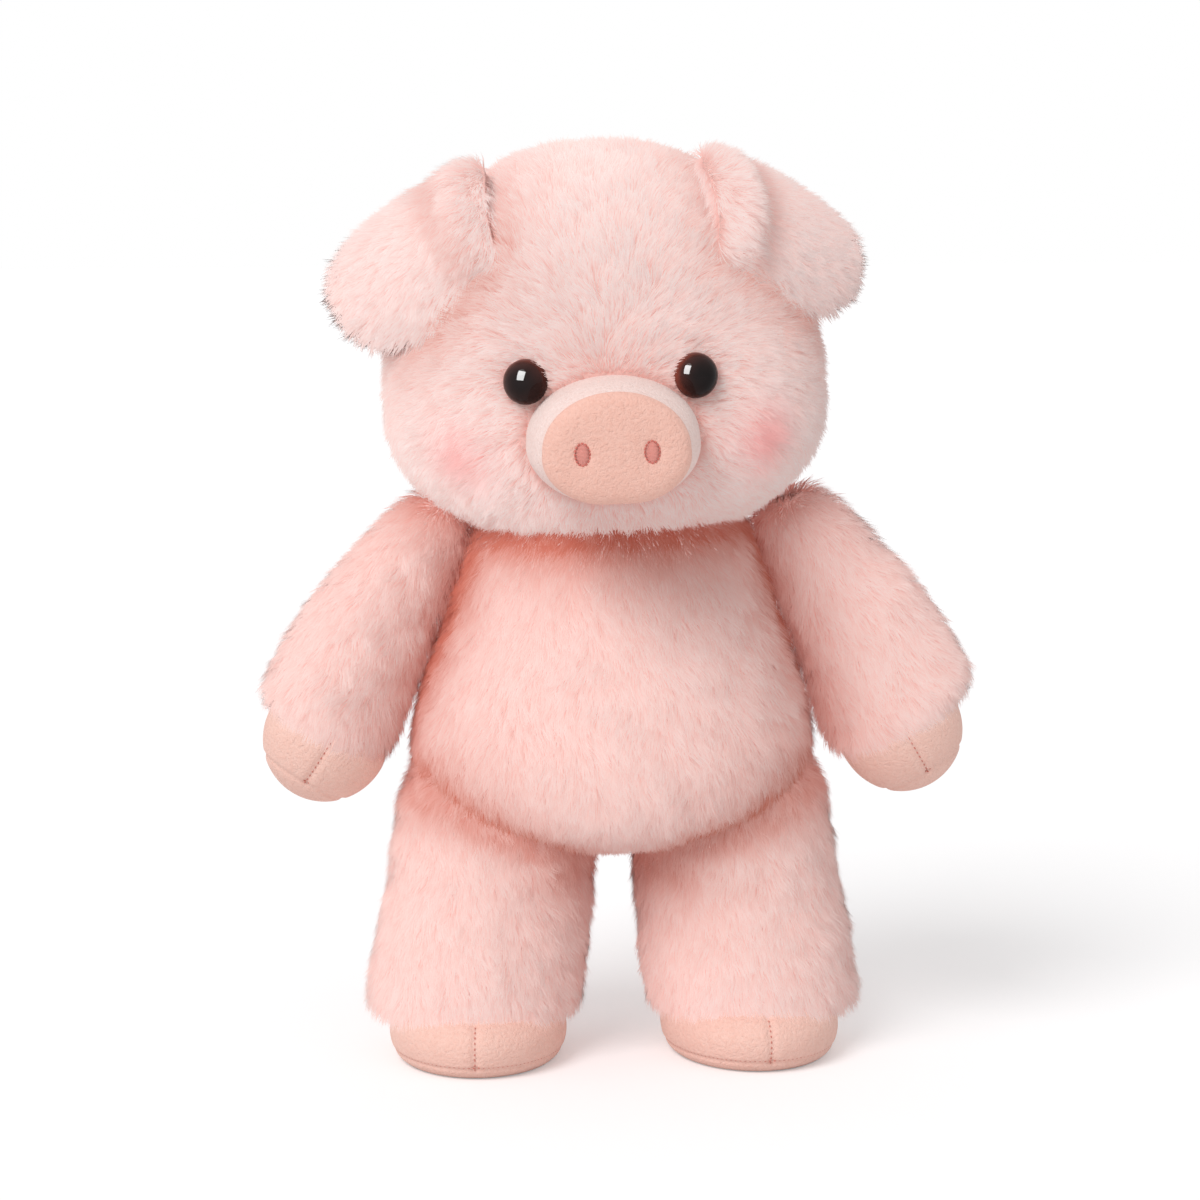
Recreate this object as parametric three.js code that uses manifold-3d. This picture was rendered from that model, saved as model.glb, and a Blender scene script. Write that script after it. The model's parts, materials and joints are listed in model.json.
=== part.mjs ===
// A plush pig that stands on two legs, made of the pieces that its maker sews together:
// fur skins over stuffing, short-nap hooves and snout, safety eyes, and sewn joints.
// Millimetres, +Z up. The pig faces -Y, and its own left side is at +X.
// The origin is on the floor, under the middle of its bounding box.

import * as THREE from 'three';
import { mergeVertices } from 'three/addons/utils/BufferGeometryUtils.js';
import Module from 'manifold-3d';

const wasm = await Module();
wasm.setup();

// Cloth and clearances
const furDepth = 8; // pile and backing together
const napDepth = 2.6; // short-nap cloth with its lining
const pieceGap = 0.3; // between pieces that are sewn or laid together
const fillingGap = 0.5; // between a skin and what fills it
const jointGap = 0.8; // between forms that move past each other
const cutOverrun = 5; // how far a cutting tool passes the piece it cuts

// Torso
const torsoBottom = 72;
const torsoHeight = 136;
const torsoHalfWidth = 71;
const torsoFrontDepth = 60;
const torsoBackDepth = 52;
const closingSeamLength = 52;
const closingSeamWidth = 2.6;
const closingSeamHeight = 122;

// Neck, the ball on which the head turns and nods
const neckHeight = 193;
const neckRadius = 30;
const throatLength = 40; // down from the neck's centre into the chest
const neckSeamThickness = 1.2;
const neckSeamHeight = 12;
const headTurnRange = 15; // degrees each way
const headNodDown = 6; // degrees
const headNodUp = 8; // degrees

// Head
const headTilt = 2; // degrees, leaning to the pig's right
const headTurn = 2.5; // degrees, looking to the pig's right
const headHalfWidth = 77;
const headFrontDepth = 64;
const headBackDepth = 60;
const headWidestRise = 36.5; // above the neck's centre
const headUpperHeight = 91;
const headLowerHeight = 50;
const headSquareness = 2.2;

// Safety eyes
const eyeDiameter = 16;
const eyeDome = 6.6;
const eyeRim = 1.2;
const eyeSink = 2.2;
const eyeSpacing = 57;
const eyeRise = 49; // above the neck's centre
const eyeOutward = 18; // degrees
const eyeUpward = 6; // degrees
const shankDiameter = 4;
const shankLength = 15;
const washerDiameter = 17;
const washerThickness = 1.6;

// Snout
const snoutRise = 30.5; // above the neck's centre
const snoutReach = 86; // from the neck's centre to the tip
const snoutRoot = 44; // where the snout starts inside the head
const snoutHalfWidth = 28.8;
const snoutHalfHeight = 20.6;
const faceSeamSetback = 5.5; // from the tip back to the seam round the face
const lipNotch = 1.8; // the small dip in the middle of the lower edge
const lipNotchSharpness = 16; // higher is narrower
const nostrilSpacing = 23;
const nostrilDrop = 2;
const nostrilWidth = 6.2;
const nostrilHeight = 8.6;
const nostrilRecess = 1.5;
const nostrilThickness = 0.8;

// Ears, each a flap that hangs over the side of the head from a rolled root
const earRootSide = 39.5;
const earRootForward = 28;
const earRootRise = 106; // above the neck's centre
const earLengths = { left: 66.5, right: 64 };
const earHalfChord = 29.5;
const earStand = 4.5; // from the root's axis up to the flap's middle surface
const earCamber = 10.5;
const earSag = 8;
const earOuterThickness = 6;
const earInnerThickness = 4.5;
const earRootThickness = 0.5; // share of both thicknesses at the root
const earRootReach = 0.25; // share of the length by which the ear has its full thickness
const earRollRadius = 7.5;
const earRollLength = 46;
const earDroops = { left: 21.5, right: 30 }; // degrees
const earSplays = { left: 31, right: 12 }; // degrees, because the ears hang differently
const earFacing = 54; // degrees
const earLiftRange = 30; // degrees

// Arms, along a line that slopes out from the shoulder
const shoulderInset = 14; // in from the torso's widest ring
const shoulderHeight = 173.5;
const shoulderRadius = 13.5;
const shoulderSeamThickness = 1.1;
const shoulderSeamWidth = 3.2;
const armSlope = 31; // degrees from vertical
const armLength = 74.5;
const armTop = 16; // above the shoulder's centre, along the arm
const armHalfWidth = 28.3;
const armHalfDepth = 25.5;
const armLean = 12;
const armSwingForward = 50; // degrees
const armSwingBack = 25; // degrees
const armRaiseRange = 30; // degrees

// Hands, short hooves that plug the arms' cuffs
const handInset = 1; // its widest ring lies this far inside the cuff
const handLean = 5;
const handHalfWidth = 21.8;
const handHalfDepth = 20;
const handTip = 24.5;
const handInside = 15;
const handSoleDepth = 7;

// Legs
const hipInset = 30; // in from the torso's widest ring
const hipHeight = 84;
const hipHalfWidth = 36.5;
const hipRadius = 33.5;
const legCuffHeight = 16.5;
const legTop = 2; // above the hip's centre
const legHalfWidth = 37.5;
const legHalfDepth = 34.5;
const legLean = 8;
const legSwingForward = 25; // degrees
const legSwingBack = 15; // degrees

// Feet
const footOutward = 9; // out from under the hip
const footForward = 3;
const footSplay = 5; // degrees
const footHalfWidth = 31;
const footHalfDepth = 38;
const footHeight = 40;
const footSeamTop = 28; // how far the split between the toes runs up, above the sole's base
const footSoleDepth = 4;
const footBoardThickness = 1.6;
const footBagDepth = 15;

// How finely the forms are faceted
const outerSides = 20;
const innerSides = 12;
const limbSides = 16;
const smallSides = 12;
const toolSides = 14;
const eyeDomeSteps = 4;
const rollEndSteps = 4;
const poseSteps = 3;

// The throat's share of the neck's radius, and how far in from the shoulder's centre its seam lies
const throatShare = 0.8;
const shoulderBandShare = 0.8;

// Shares of a form's height, of its half width and of its sideways lean, from its bottom to its top
const torsoShares = [
  [0, 0], [0.02, 0.34], [0.06, 0.6], [0.12, 0.82], [0.19, 0.95], [0.28, 1], [0.4, 0.965],
  [0.53, 0.89], [0.65, 0.81], [0.76, 0.745], [0.85, 0.68], [0.93, 0.55], [0.98, 0.32], [1, 0],
];

const armShares = [
  [0, 0, 0.54], [0, 0.92, 0.54], [0.034, 1, 0.54], [0.25, 0.955, 0.83], [0.47, 0.84, 1],
  [0.66, 0.7, 0.98], [0.81, 0.61, 0.88], [0.905, 0.5, 0.8], [0.97, 0.34, 0.75], [1, 0, 0.75],
];
const legShares = [
  [0, 0, 1], [0, 0.93, 1], [0.037, 1, 0.95], [0.28, 0.99, 0.62], [0.59, 0.965, 0.26],
  [0.83, 0.94, 0.05], [0.925, 0.8, 0], [1, 0, 0],
];
const footShares = [
  [0, 0], [0, 0.88], [0.035, 0.94], [0.1, 0.98], [0.2, 1], [0.3, 0.95], [0.4, 0.85], [0.52, 0.76], [0.8, 0.6],
  [0.95, 0.36], [1, 0],
];

// Shares of the snout's reach past its root, and of its half width and half height
const snoutShares = [
  [0, 0, 0], [0, 1, 1], [0.5, 1, 1], [0.74, 0.955, 0.95], [0.87, 0.89, 0.88], [0.95, 0.74, 0.73],
  [0.99, 0.46, 0.45], [1, 0, 0],
];

// Shares of the ear's length and half chord, from the root to the tip
const earShares = [
  [0, 0], [0, 0.78], [0.12, 0.88], [0.3, 0.97], [0.5, 1], [0.68, 0.97], [0.83, 0.84], [0.93, 0.62],
  [0.985, 0.34], [1, 0],
];

const shoulderSide = torsoHalfWidth - shoulderInset;
const hipSide = torsoHalfWidth - hipInset;
const footSide = hipSide + footOutward;
const handReach = armLength - handInset;

// A slab that splits a form reaches past the whole of it
const slabSpan = headHalfWidth * 2 + cutOverrun;

const left = { name: 'left', sign: 1 };
const right = { name: 'right', sign: -1 };
const sides = [left, right];

const radians = (degrees) => THREE.MathUtils.degToRad(degrees);

// Finishes, in the colours of the cloth and the eyes
const finish = (color, roughness) => new THREE.MeshStandardMaterial({ color, roughness, metalness: 0 });
const fur = () => finish(0xf8d0c9, 0.95);
const earFur = () => finish(0xfbdcd7, 0.95);
const hoofNap = () => finish(0xf7c0b3, 0.85);
const snoutNap = () => finish(0xf5bdb1, 0.85);
const bandNap = () => finish(0xfad7d0, 0.85);
const nostrilThread = () => finish(0xdb7f78, 0.8);
const thread = () => finish(0xeaa79c, 0.8);
const stuffing = () => finish(0xf6f4f0, 1);
const eyePlastic = () => finish(0x120a09, 0.12);
const washerPlastic = () => finish(0xe8e6e2, 0.5);
const soleBoard = () => finish(0xd9d2c4, 0.7);
const pelletBag = () => finish(0xe9e4da, 0.9);

// A closed skin over rows of points that run round from pole to pole
function skin(rows, columns, pointAt) {
  const points = [pointAt(0, 0)];
  for (let row = 1; row < rows; row += 1) {
    for (let column = 0; column < columns; column += 1) points.push(pointAt(row, column / columns));
  }
  points.push(pointAt(rows, 0));
  const at = (row, column) => 1 + (row - 1) * columns + (column % columns);
  const triangles = [];
  for (let column = 0; column < columns; column += 1) {
    triangles.push(0, at(1, column + 1), at(1, column));
    for (let row = 1; row < rows - 1; row += 1) {
      triangles.push(at(row, column), at(row, column + 1), at(row + 1, column + 1));
      triangles.push(at(row, column), at(row + 1, column + 1), at(row + 1, column));
    }
    triangles.push(at(rows - 1, column), at(rows - 1, column + 1), points.length - 1);
  }
  const geometry = new THREE.BufferGeometry();
  geometry.setAttribute('position', new THREE.Float32BufferAttribute(points.flat(), 3));
  geometry.setIndex(triangles);
  return geometry;
}

// Volume inside a skin, negative where its faces point inwards
function signedVolume(positions, triangles) {
  const corner = (index) => new THREE.Vector3().fromArray(positions, index * 3);
  let volume = 0;
  for (let at = 0; at < triangles.length; at += 3) {
    const [a, b, c] = [corner(triangles[at]), corner(triangles[at + 1]), corner(triangles[at + 2])];
    volume += a.dot(b.cross(c)) / 6;
  }
  return volume;
}

// A geometry as a solid, its faces turned out
function solid(geometry) {
  const bare = geometry.clone();
  bare.deleteAttribute('normal');
  bare.deleteAttribute('uv');
  const merged = mergeVertices(bare);
  const vertProperties = new Float32Array(merged.attributes.position.array);
  const triVerts = new Uint32Array(merged.index.array);
  if (signedVolume(vertProperties, triVerts) < 0) triVerts.reverse();
  return new wasm.Manifold(new wasm.Mesh({ numProp: 3, vertProperties, triVerts }));
}

const joined = (solids) => solids.reduce((sum, next) => sum.add(next));
const cut = (piece, ...tools) => tools.flat().reduce((rest, tool) => rest.subtract(tool), piece);
const moved = (geometry, matrix) => geometry.clone().applyMatrix4(matrix);

function geometryOf(piece) {
  const { vertProperties, triVerts } = piece.getMesh();
  const geometry = new THREE.BufferGeometry();
  geometry.setAttribute('position', new THREE.Float32BufferAttribute(vertProperties, 3));
  geometry.setIndex([...triVerts]);
  return geometry;
}

// A named piece of one material, added to the frame that its solid is drawn in
function addPiece(frame, name, piece, material) {
  const geometry = geometryOf(piece);
  geometry.computeVertexNormals();
  const mesh = new THREE.Mesh(geometry, material);
  mesh.name = name;
  frame.add(mesh);
}

function addFrame(parent, x, y, z, rotation = new THREE.Euler()) {
  const frame = new THREE.Group();
  frame.position.set(x, y, z);
  frame.rotation.copy(rotation);
  parent.add(frame);
  frame.updateWorldMatrix(true, false);
  return frame;
}

// A turn by some degrees about an axis through a point
function turnAbout(pivot, axis, degrees) {
  const back = new THREE.Matrix4().makeTranslation(pivot.clone().negate());
  const turn = new THREE.Matrix4().makeRotationAxis(axis, radians(degrees));
  return new THREE.Matrix4().makeTranslation(pivot).multiply(turn).multiply(back);
}

// Evenly spread angles over a range
function spread(from, to, steps) {
  return Array.from({ length: steps + 1 }, (_, step) => THREE.MathUtils.lerp(from, to, step / steps));
}

const alongX = new THREE.Vector3(1, 0, 0);
const alongY = new THREE.Vector3(0, 1, 0);
const alongZ = new THREE.Vector3(0, 0, 1);

const pig = new THREE.Group();

// A stuffed form: ovals up a table of shares. inset shrinks it on every side.
function stuffedForm(shares, size, inset, columns) {
  return skin(shares.length - 1, columns, (row, turn) => {
    const [rise, width, lean = 0] = shares[row];
    const angle = turn * Math.PI * 2;
    const depth = Math.sin(angle) < 0 ? size.front : size.back;
    return [
      size.lean * lean + (size.halfWidth - inset) * width * Math.cos(angle),
      (depth - inset) * width * Math.sin(angle),
      size.bottom + inset + (size.height - inset * 2) * rise,
    ];
  });
}

// The torso, drawn in the pig's own frame
function torsoForm(inset, columns = outerSides) {
  const size = {
    halfWidth: torsoHalfWidth,
    front: torsoFrontDepth,
    back: torsoBackDepth,
    bottom: torsoBottom,
    height: torsoHeight,
    lean: 0,
  };
  return stuffedForm(torsoShares, size, inset, columns);
}

// An egg whose halves above and below its widest ring differ, and front and back too
function headForm(inset, columns = outerSides) {
  const rows = columns / 2;
  return skin(rows, columns, (row, turn) => {
    const climb = (row / rows - 1 / 2) * Math.PI;
    const angle = turn * Math.PI * 2;
    const rise = Math.sign(Math.sin(climb)) * Math.abs(Math.sin(climb)) ** (2 / headSquareness);
    const width = Math.abs(Math.cos(climb)) ** (2 / headSquareness);
    const height = rise < 0 ? headLowerHeight : headUpperHeight;
    const depth = Math.sin(angle) < 0 ? headFrontDepth : headBackDepth;
    return [
      (headHalfWidth - inset) * width * Math.cos(angle),
      (depth - inset) * width * Math.sin(angle),
      headWidestRise + (height - inset) * rise,
    ];
  });
}

// How far the head's front stands out at a place on its face
function faceReach(side, rise) {
  const height = rise < headWidestRise ? headLowerHeight : headUpperHeight;
  const climb = Math.abs(rise - headWidestRise) / height;
  const width = (1 - climb ** headSquareness) ** (1 / headSquareness);
  return headFrontDepth * width * Math.sqrt(1 - (side / (headHalfWidth * width)) ** 2);
}

const ball = (radius, columns = limbSides) => new THREE.SphereGeometry(radius, columns, columns / 2);

// A band between two balls, kept between two planes square to an axis of the frame
function ballBand(innerRadius, thickness, slab, columns) {
  const shell = solid(ball(innerRadius + thickness, columns)).subtract(solid(ball(innerRadius, columns)));
  return shell.intersect(solid(slab));
}

function block(width, depth, height, x, y, z) {
  return new THREE.BoxGeometry(width, depth, height).translate(x, y, z);
}

const neckCentre = new THREE.Vector3(0, 0, neckHeight);
const headFrame = addFrame(
  pig,
  neckCentre.x,
  neckCentre.y,
  neckCentre.z,
  new THREE.Euler(0, radians(-headTilt), radians(-headTurn), 'ZYX'),
);

// A tool's flat facets lie inside its round form, so a tool that clears a moving form grows by their sag
const toolSag = headHalfWidth * (1 - Math.cos(Math.PI / toolSides));
const toolGrowth = jointGap + toolSag;

// Where the head can be, as forms in the pig's frame
const headPoses = [-headTurnRange, headTurnRange].flatMap((turn) =>
  [-headNodUp, headNodDown].map((nod) =>
    turnAbout(neckCentre, alongZ, turn).multiply(turnAbout(neckCentre, alongX, nod)),
  ),
);

function sweptHead(grow) {
  const form = moved(headForm(-(toolGrowth + grow), toolSides), headFrame.matrixWorld);
  return joined(headPoses.map((pose) => solid(moved(form, pose))));
}

// How far the head's rim dips when it nods
const headDip = headBackDepth * Math.sin(radians(headNodUp));

const shoulderCentre = (side) => new THREE.Vector3(side.sign * shoulderSide, 0, shoulderHeight);
const hipCentre = (side) => new THREE.Vector3(side.sign * hipSide, 0, hipHeight);

// The leg's top is round about the axis that it swings on, so it fits its socket at every angle
function hipForm(grow, columns = limbSides) {
  const long = new THREE.SphereGeometry(1, columns, columns / 2).rotateZ(Math.PI / 2);
  return long.scale(hipHalfWidth + grow, hipRadius + grow, hipRadius + grow);
}

const at = (centre) => new THREE.Matrix4().makeTranslation(centre);

function buildTorso() {
  const socketsWithin = (grow, columns) => [
    ...sides.map((side) => solid(moved(hipForm(jointGap + grow, columns), at(hipCentre(side))))),
    ...sides.map((side) => {
      const socket = shoulderRadius + shoulderSeamThickness + jointGap * 2 + grow;
      return solid(moved(ball(socket, columns), at(shoulderCentre(side))));
    }),
  ];
  const neck = (inset, columns) => {
    const radius = neckRadius - inset;
    const throat = new THREE.CylinderGeometry(radius * throatShare, radius * throatShare, throatLength, columns);
    throat.rotateX(Math.PI / 2).translate(0, 0, -throatLength / 2);
    return solid(moved(ball(radius, columns), at(neckCentre))).add(solid(moved(throat, at(neckCentre))));
  };
  const body = cut(solid(torsoForm(0)), sweptHead(0), socketsWithin(0, limbSides)).add(neck(0, limbSides));
  const inside = (inset) => {
    const under = solid(moved(headForm(-(inset + headDip), innerSides), headFrame.matrixWorld));
    const form = solid(torsoForm(inset, innerSides));
    return cut(form, under, socketsWithin(inset, innerSides)).add(neck(inset, innerSides));
  };
  const shell = body.subtract(inside(furDepth));
  const seamSlab = (shrink) => {
    const deep = torsoBackDepth / 2 + cutOverrun;
    const width = closingSeamWidth - shrink * 2;
    const length = closingSeamLength - shrink * 2;
    const middle = torsoBackDepth + cutOverrun - deep / 2;
    return solid(block(width, deep, length, 0, middle, closingSeamHeight));
  };
  addPiece(pig, 'torso_fur', shell.subtract(seamSlab(0)), fur());
  addPiece(pig, 'torso_back_seam', shell.intersect(seamSlab(pieceGap)), thread());
  addPiece(pig, 'torso_filling', inside(furDepth + fillingGap), stuffing());
}

// The gathered seam that ties the head on, a band round the neck's ball
function buildNeck() {
  const inner = neckRadius + jointGap;
  const slab = block(slabSpan, slabSpan, neckSeamHeight, 0, 0, neckSeamHeight / 2);
  const band = ballBand(inner, neckSeamThickness, slab, limbSides);
  addPiece(addFrame(pig, neckCentre.x, neckCentre.y, neckCentre.z), 'neck_seam', band, thread());
}

// An eye's profile from the end of its shank to the top of its dome, turned about the Z axis
function eyeForm(grow) {
  const radius = eyeDiameter / 2 + grow;
  const shank = shankDiameter / 2 + grow;
  const outline = [[0, -shankLength - grow], [shank, -shankLength - grow], [shank, -grow], [radius, -grow]];
  for (let step = 0; step < eyeDomeSteps; step += 1) {
    const angle = (step / eyeDomeSteps) * (Math.PI / 2);
    const rise = eyeRim + (eyeDome - eyeRim) * Math.sin(angle);
    outline.push([radius * Math.cos(angle), rise + grow]);
  }
  outline.push([0, eyeDome + grow]);
  const profile = outline.map(([x, y]) => new THREE.Vector2(x, y));
  return new THREE.LatheGeometry(profile, smallSides).rotateX(Math.PI / 2);
}

function washerForm(grow) {
  const outer = washerDiameter / 2 + grow;
  const inner = shankDiameter / 2 + pieceGap - grow;
  const top = washerThickness + grow;
  const outline = [[inner, -grow], [outer, -grow], [outer, top], [inner, top], [inner, -grow]];
  const profile = outline.map(([x, y]) => new THREE.Vector2(x, y));
  return new THREE.LatheGeometry(profile, smallSides).rotateX(Math.PI / 2);
}

// Where an eye sits on the face: its Z axis looks out of the head
function eyePlace(side) {
  const across = side.sign * (eyeSpacing / 2);
  const out = new THREE.Euler(radians(90 - eyeUpward), 0, radians(side.sign * eyeOutward), 'ZYX');
  const place = new THREE.Matrix4().makeRotationFromEuler(out);
  place.setPosition(across, -faceReach(across, eyeRise), eyeRise);
  return place.multiply(new THREE.Matrix4().makeTranslation(0, 0, -eyeSink));
}

// The washer grips the shank behind the fur
const washerSet = new THREE.Matrix4().makeTranslation(0, 0, -(furDepth + pieceGap + washerThickness));
const washerPlace = (side) => eyePlace(side).multiply(washerSet);

// The snout: rings of an oval that run forward from inside the head, dipped under the lip
function snoutForm(inset, columns = limbSides) {
  const length = snoutReach - snoutRoot - inset;
  return skin(snoutShares.length - 1, columns, (row, turn) => {
    const [reach, width, height] = snoutShares[row];
    const angle = turn * Math.PI * 2;
    const dip = lipNotch * Math.max(0, -Math.sin(angle)) ** lipNotchSharpness * reach;
    return [
      (snoutHalfWidth - inset) * width * Math.cos(angle),
      -(snoutRoot + length * reach),
      snoutRise + ((snoutHalfHeight - inset) * height) * Math.sin(angle) + dip,
    ];
  });
}

function nostrilForm(side, grow, front, depth) {
  const oval = new THREE.CylinderGeometry(1, 1, depth, smallSides);
  oval.scale(nostrilWidth / 2 + grow, 1, nostrilHeight / 2 + grow);
  return oval.translate(side.sign * (nostrilSpacing / 2), -(front - depth / 2), snoutRise - nostrilDrop);
}

function buildHead() {
  const pocket = (grow, columns) => {
    const radius = neckRadius + neckSeamThickness + jointGap * 2 + grow;
    return solid(ball(radius, columns));
  };
  const eyes = (grow) => sides.map((side) => solid(moved(eyeForm(grow), eyePlace(side))));
  const washers = (grow) => sides.map((side) => solid(moved(washerForm(grow), washerPlace(side))));
  const washerRoom = washers(pieceGap);
  const outer = solid(headForm(0));
  const cavity = solid(headForm(furDepth, innerSides));
  const snoutWay = solid(snoutForm(napDepth, innerSides));
  const earRoots = sides.map((side) => solid(moved(earRoll(jointGap), earPlace(side))));
  const shell = cut(outer, cavity, pocket(0, limbSides), eyes(pieceGap), washerRoom, snoutWay, earRoots);
  addPiece(headFrame, 'head_fur', shell, fur());
  const round = solid(headForm(furDepth + fillingGap, innerSides));
  const fillingPocket = pocket(fillingGap, limbSides);
  const filling = cut(round, fillingPocket, eyes(pieceGap), washerRoom, snoutWay, earRoots);
  addPiece(headFrame, 'head_filling', filling, stuffing());
  for (const side of sides) {
    addPiece(headFrame, `${side.name}_eye`, solid(moved(eyeForm(0), eyePlace(side))), eyePlastic());
    addPiece(headFrame, `${side.name}_eye_washer`, solid(moved(washerForm(0), washerPlace(side))), washerPlastic());
  }
  buildSnout();
}

function buildSnout() {
  const reachOf = (from, to) => solid(block(slabSpan, to - from, slabSpan, 0, -(from + to) / 2, snoutRise));
  const faceSeam = snoutReach - faceSeamSetback;
  const whole = solid(snoutForm(0));
  const hollow = solid(snoutForm(napDepth, innerSides));
  const head = solid(headForm(-pieceGap));
  const wall = whole.subtract(hollow);
  const band = cut(wall.intersect(reachOf(snoutRoot, faceSeam - pieceGap)), head);
  addPiece(headFrame, 'snout_band', band, bandNap());
  const recesses = sides.map((side) => {
    const reach = snoutReach + cutOverrun;
    return solid(nostrilForm(side, pieceGap, reach, reach - snoutReach + nostrilRecess + pieceGap));
  });
  const face = cut(wall.intersect(reachOf(faceSeam, snoutReach + cutOverrun)), recesses);
  addPiece(headFrame, 'snout_face', face, snoutNap());
  const filling = solid(snoutForm(napDepth + pieceGap, innerSides));
  const behind = reachOf(snoutRoot - cutOverrun, snoutRoot + furDepth);
  addPiece(headFrame, 'snout_filling', cut(filling, behind), stuffing());
  for (const side of sides) {
    const patch = nostrilForm(side, 0, snoutReach - nostrilRecess + nostrilThickness, nostrilThickness);
    addPiece(headFrame, `${side.name}_nostril`, solid(patch), nostrilThread());
  }
}

// An ear, drawn along +X from its root: a cambered sheet that droops at its tip.
// above and below are how thick it stands on each side of its middle surface.
function earForm(side, above, below, shift) {
  return skin(earShares.length - 1, smallSides, (row, turn) => {
    const [reach, chord] = earShares[row];
    const angle = turn * Math.PI * 2;
    const across = Math.cos(angle);
    const rise = Math.sin(angle);
    const camber = earStand - earCamber * (chord * across) ** 2 - earSag * reach ** 2;
    const grown = THREE.MathUtils.lerp(earRootThickness, 1, Math.min(1, reach / earRootReach));
    const swell = (rise > 0 ? above : below) * rise * Math.min(1, chord * 2) * grown;
    return [side.sign * earLengths[side.name] * reach, earHalfChord * chord * across, camber + swell + shift];
  });
}

function earRoll(grow) {
  const straight = earRollLength - earRollRadius * 2;
  return new THREE.CapsuleGeometry(earRollRadius + grow, straight, rollEndSteps, smallSides);
}

// Where an ear is sewn on: its X axis runs out along the ear and its Y axis along the root
function earPlace(side) {
  const turns = [earFacing, side.sign * earDroops[side.name], side.sign * earSplays[side.name]].map(radians);
  const place = new THREE.Matrix4().makeRotationFromEuler(new THREE.Euler(...turns, 'ZYX'));
  return place.setPosition(side.sign * earRootSide, -earRootForward, earRootRise);
}

function buildEar(side) {
  const root = earPlace(side);
  const centre = new THREE.Vector3().setFromMatrixPosition(root);
  const frame = addFrame(headFrame, centre.x, centre.y, centre.z, new THREE.Euler().setFromRotationMatrix(root));
  const toFrame = frame.matrix.clone().invert();
  // The head as the ear meets it at each lift
  const heads = spread(0, side.sign * earLiftRange, poseSteps).map((lift) =>
    solid(moved(headForm(-jointGap), turnAbout(new THREE.Vector3(), alongY, lift).multiply(toFrame))),
  );
  const roll = (grow) => solid(earRoll(grow));
  const outer = solid(earForm(side, earOuterThickness, 0, fillingGap / 2));
  const inner = cut(solid(earForm(side, 0, earInnerThickness, -fillingGap / 2)), roll(pieceGap));
  addPiece(frame, `${side.name}_ear_outer`, cut(outer, heads).add(roll(0)), earFur());
  addPiece(frame, `${side.name}_ear_inner`, cut(inner, heads), earFur());
}

// An arm, drawn down from the shoulder along -Z
function armForm(side, inset, columns = limbSides) {
  const size = {
    halfWidth: armHalfWidth,
    front: armHalfDepth,
    back: armHalfDepth,
    bottom: -armLength,
    height: armLength + armTop,
    lean: side.sign * armLean,
  };
  return stuffedForm(armShares, size, inset, columns);
}

function handForm(side, inset, columns = limbSides) {
  const rows = columns / 2;
  return skin(rows, columns, (row, turn) => {
    const climb = (row / rows - 1 / 2) * Math.PI;
    const angle = turn * Math.PI * 2;
    const length = climb < 0 ? handTip : handInside;
    return [
      side.sign * handLean + (handHalfWidth - inset) * Math.cos(climb) * Math.cos(angle),
      (handHalfDepth - inset) * Math.cos(climb) * Math.sin(angle),
      -handReach + (length - inset) * Math.sin(climb),
    ];
  });
}

function buildArm(side) {
  const centre = shoulderCentre(side);
  const slope = new THREE.Euler(0, radians(-side.sign * armSlope), 0);
  const frame = addFrame(pig, centre.x, centre.y, centre.z, slope);
  const toFrame = frame.matrixWorld.clone().invert();
  const raises = spread(0, -side.sign * armRaiseRange, poseSteps - 1);
  // The neighbours as the arm meets them at each swing and raise, and the seam's band likewise
  const undo = (swing, raise) => {
    const lowered = toFrame.clone().multiply(turnAbout(centre, alongY, -raise));
    return lowered.multiply(turnAbout(centre, alongX, -swing));
  };
  const armPoses = spread(-armSwingForward, armSwingBack, poseSteps).flatMap((swing) =>
    [raises[0], raises[poseSteps - 1]].map((raise) => undo(swing, raise)),
  );
  const neighbours = (grow) => {
    const flank = moved(flankForm(side, jointGap + grow), at(centre));
    const head = geometryOf(sweptHead(grow));
    const hip = solid(moved(hipForm(jointGap + grow), toFrame.clone().multiply(at(hipCentre(side)))));
    const flanks = raises.map((raise) => solid(moved(flank, undo(0, raise))));
    return [hip, ...flanks, ...armPoses.map((pose) => solid(moved(head, pose)))];
  };
  const bands = raises.map((raise) => {
    const band = geometryOf(shoulderBand(side, jointGap)).applyMatrix4(at(centre));
    return solid(band.applyMatrix4(undo(0, raise)));
  });
  const hand = (inset, columns) => solid(handForm(side, inset, columns));
  const inside = (inset) => cut(solid(armForm(side, inset, innerSides)), neighbours(inset));
  const sleeve = cut(solid(armForm(side, 0)), neighbours(0), bands).add(solid(ball(shoulderRadius, smallSides)));
  const cavity = inside(furDepth);
  addPiece(frame, `${side.name}_arm_fur`, cut(sleeve, cavity, hand(-pieceGap, toolSides)), fur());
  const filling = cut(inside(furDepth + fillingGap), hand(-pieceGap, toolSides));
  addPiece(frame, `${side.name}_arm_filling`, filling, stuffing());
  buildHand(side, frame, hand);
  buildShoulder(side);
}

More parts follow.
